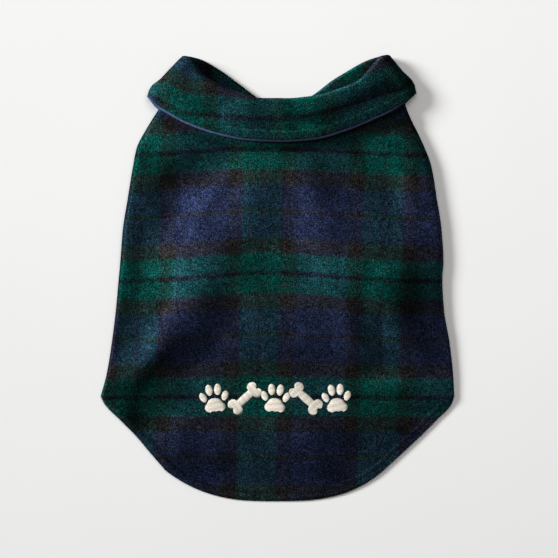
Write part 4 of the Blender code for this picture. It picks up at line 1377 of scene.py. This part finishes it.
def blue_satin(name):
    """Bias-cut satin: fine slanting ribs, soft gloss and slight gathers, darkened by the painted light and shade
    stored along the piping.
    """
    g = Graph(name)
    uv = g.uv()
    place = g.split(uv)
    by_length, by_turn = SATIN_RIBS
    ribs = g.math("SINE", g.math("ADD", g.times(place["X"], by_length), g.times(place["Y"], by_turn)))
    mottle = g.flat_noise(g.scaled(uv, (0.35, 1.5, 0.0)), scale=1.0, detail=2.0)[0]
    colour = g.blend(g.span(mottle, 0.3, 0.7), SATIN_DARK, SATIN_LIGHT)
    colour = g.dimmed(colour, g.stored("tone"))
    height = g.math("MULTIPLY_ADD", ribs, 0.3, mottle)
    return g.finish(colour, roughness=0.6, specular=0.03, height=height, strength=0.5, distance=0.0001)


def thread_material(name, colours, roughness, specular):
    """Twisted sewing thread, each one a little lighter or darker than the next."""
    g = Graph(name)
    twist = g.noise(g.add("ShaderNodeTexCoord")["Object"], scale=2200.0, detail=1.0)[0]
    share = g.math("ADD", g.times(g.stored("tone"), 0.6), g.times(twist, 0.4))
    dark, light = ((*colour, 1.0) for colour in colours)
    colour = g.blend(share, dark, light)
    return g.finish(colour, roughness, specular, height=twist, strength=0.4, distance=0.0001)


def plain_paper(name):
    g = Graph(name)
    faint = g.noise(g.add("ShaderNodeTexCoord")["Object"], scale=6.0, detail=2.0)[0]
    return g.finish(g.blend(faint, *PAPER), roughness=0.9, specular=0.1)


# Stage, light and camera

def area_light(name, place, target, size, power, colour):
    data = bpy.data.lights.new(name, "AREA")
    data.shape = "DISK"
    data.size = size
    data.energy = power
    data.color = colour
    light = bpy.data.objects.new(name, data)
    light.location = place
    light.visible_camera = False
    light.rotation_euler = (Vector(target) - Vector(place)).to_track_quat("-Z", "Y").to_euler()
    bpy.context.scene.collection.objects.link(light)


def stage():
    scene = bpy.context.scene
    reach = FLOOR_REACH
    corners = [(-reach, -reach, 0.0), (reach, -reach, 0.0), (reach, reach, 0.0), (-reach, reach, 0.0)]
    floor = piece_of("floor", corners, [(0, 1, 2, 3)])
    floor.location.z = FLOOR_Z * MM
    floor.data.materials.append(plain_paper("pale floor"))
    for light in LIGHTS:
        area_light(*light)
    world = bpy.data.worlds.new("studio")
    world.use_nodes = True
    sky = world.node_tree.nodes["Background"].inputs
    sky["Color"].default_value = SKY
    sky["Strength"].default_value = SKY_STRENGTH
    scene.world = world
    scene.view_settings.view_transform = "Standard"
    lens = bpy.data.cameras.new("camera")
    lens.sensor_width = SENSOR
    lens.lens = SENSOR * CAMERA_HEIGHT / FRAME_WIDTH
    camera = bpy.data.objects.new("camera", lens)
    camera.location = (FRAME_CENTRE[0] * MM, FRAME_CENTRE[1] * MM, CAMERA_HEIGHT * MM)
    scene.collection.objects.link(camera)
    scene.camera = camera


def main():
    stage()
    back, belly, band, piping = back_panel(), belly_panel(), collar(), collar_piping()
    stitches, motif = hem_stitches(back, belly), ornament(back)
    plaid = brushed_plaid("brushed plaid")
    looks = (
        (back, plaid, "plaid_cloth"),
        (belly, plaid, "plaid_cloth"),
        (band, brushed_plaid("brushed plaid, collar", collar=True), "plaid_cloth"),
        (piping, blue_satin("blue satin"), "satin_piping"),
        (stitches, thread_material("dark thread", DARK_THREAD, roughness=0.8, specular=0.05), None),
        (motif, thread_material("ivory thread", IVORY_THREAD, roughness=0.5, specular=0.3), None),
    )
    for piece, material, slot in looks:
        piece.data.materials.append(material)
        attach(piece, "root")
    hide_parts("back_panel")
    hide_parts("belly_panel")
    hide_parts("collar")
    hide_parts("collar_piping")


main()
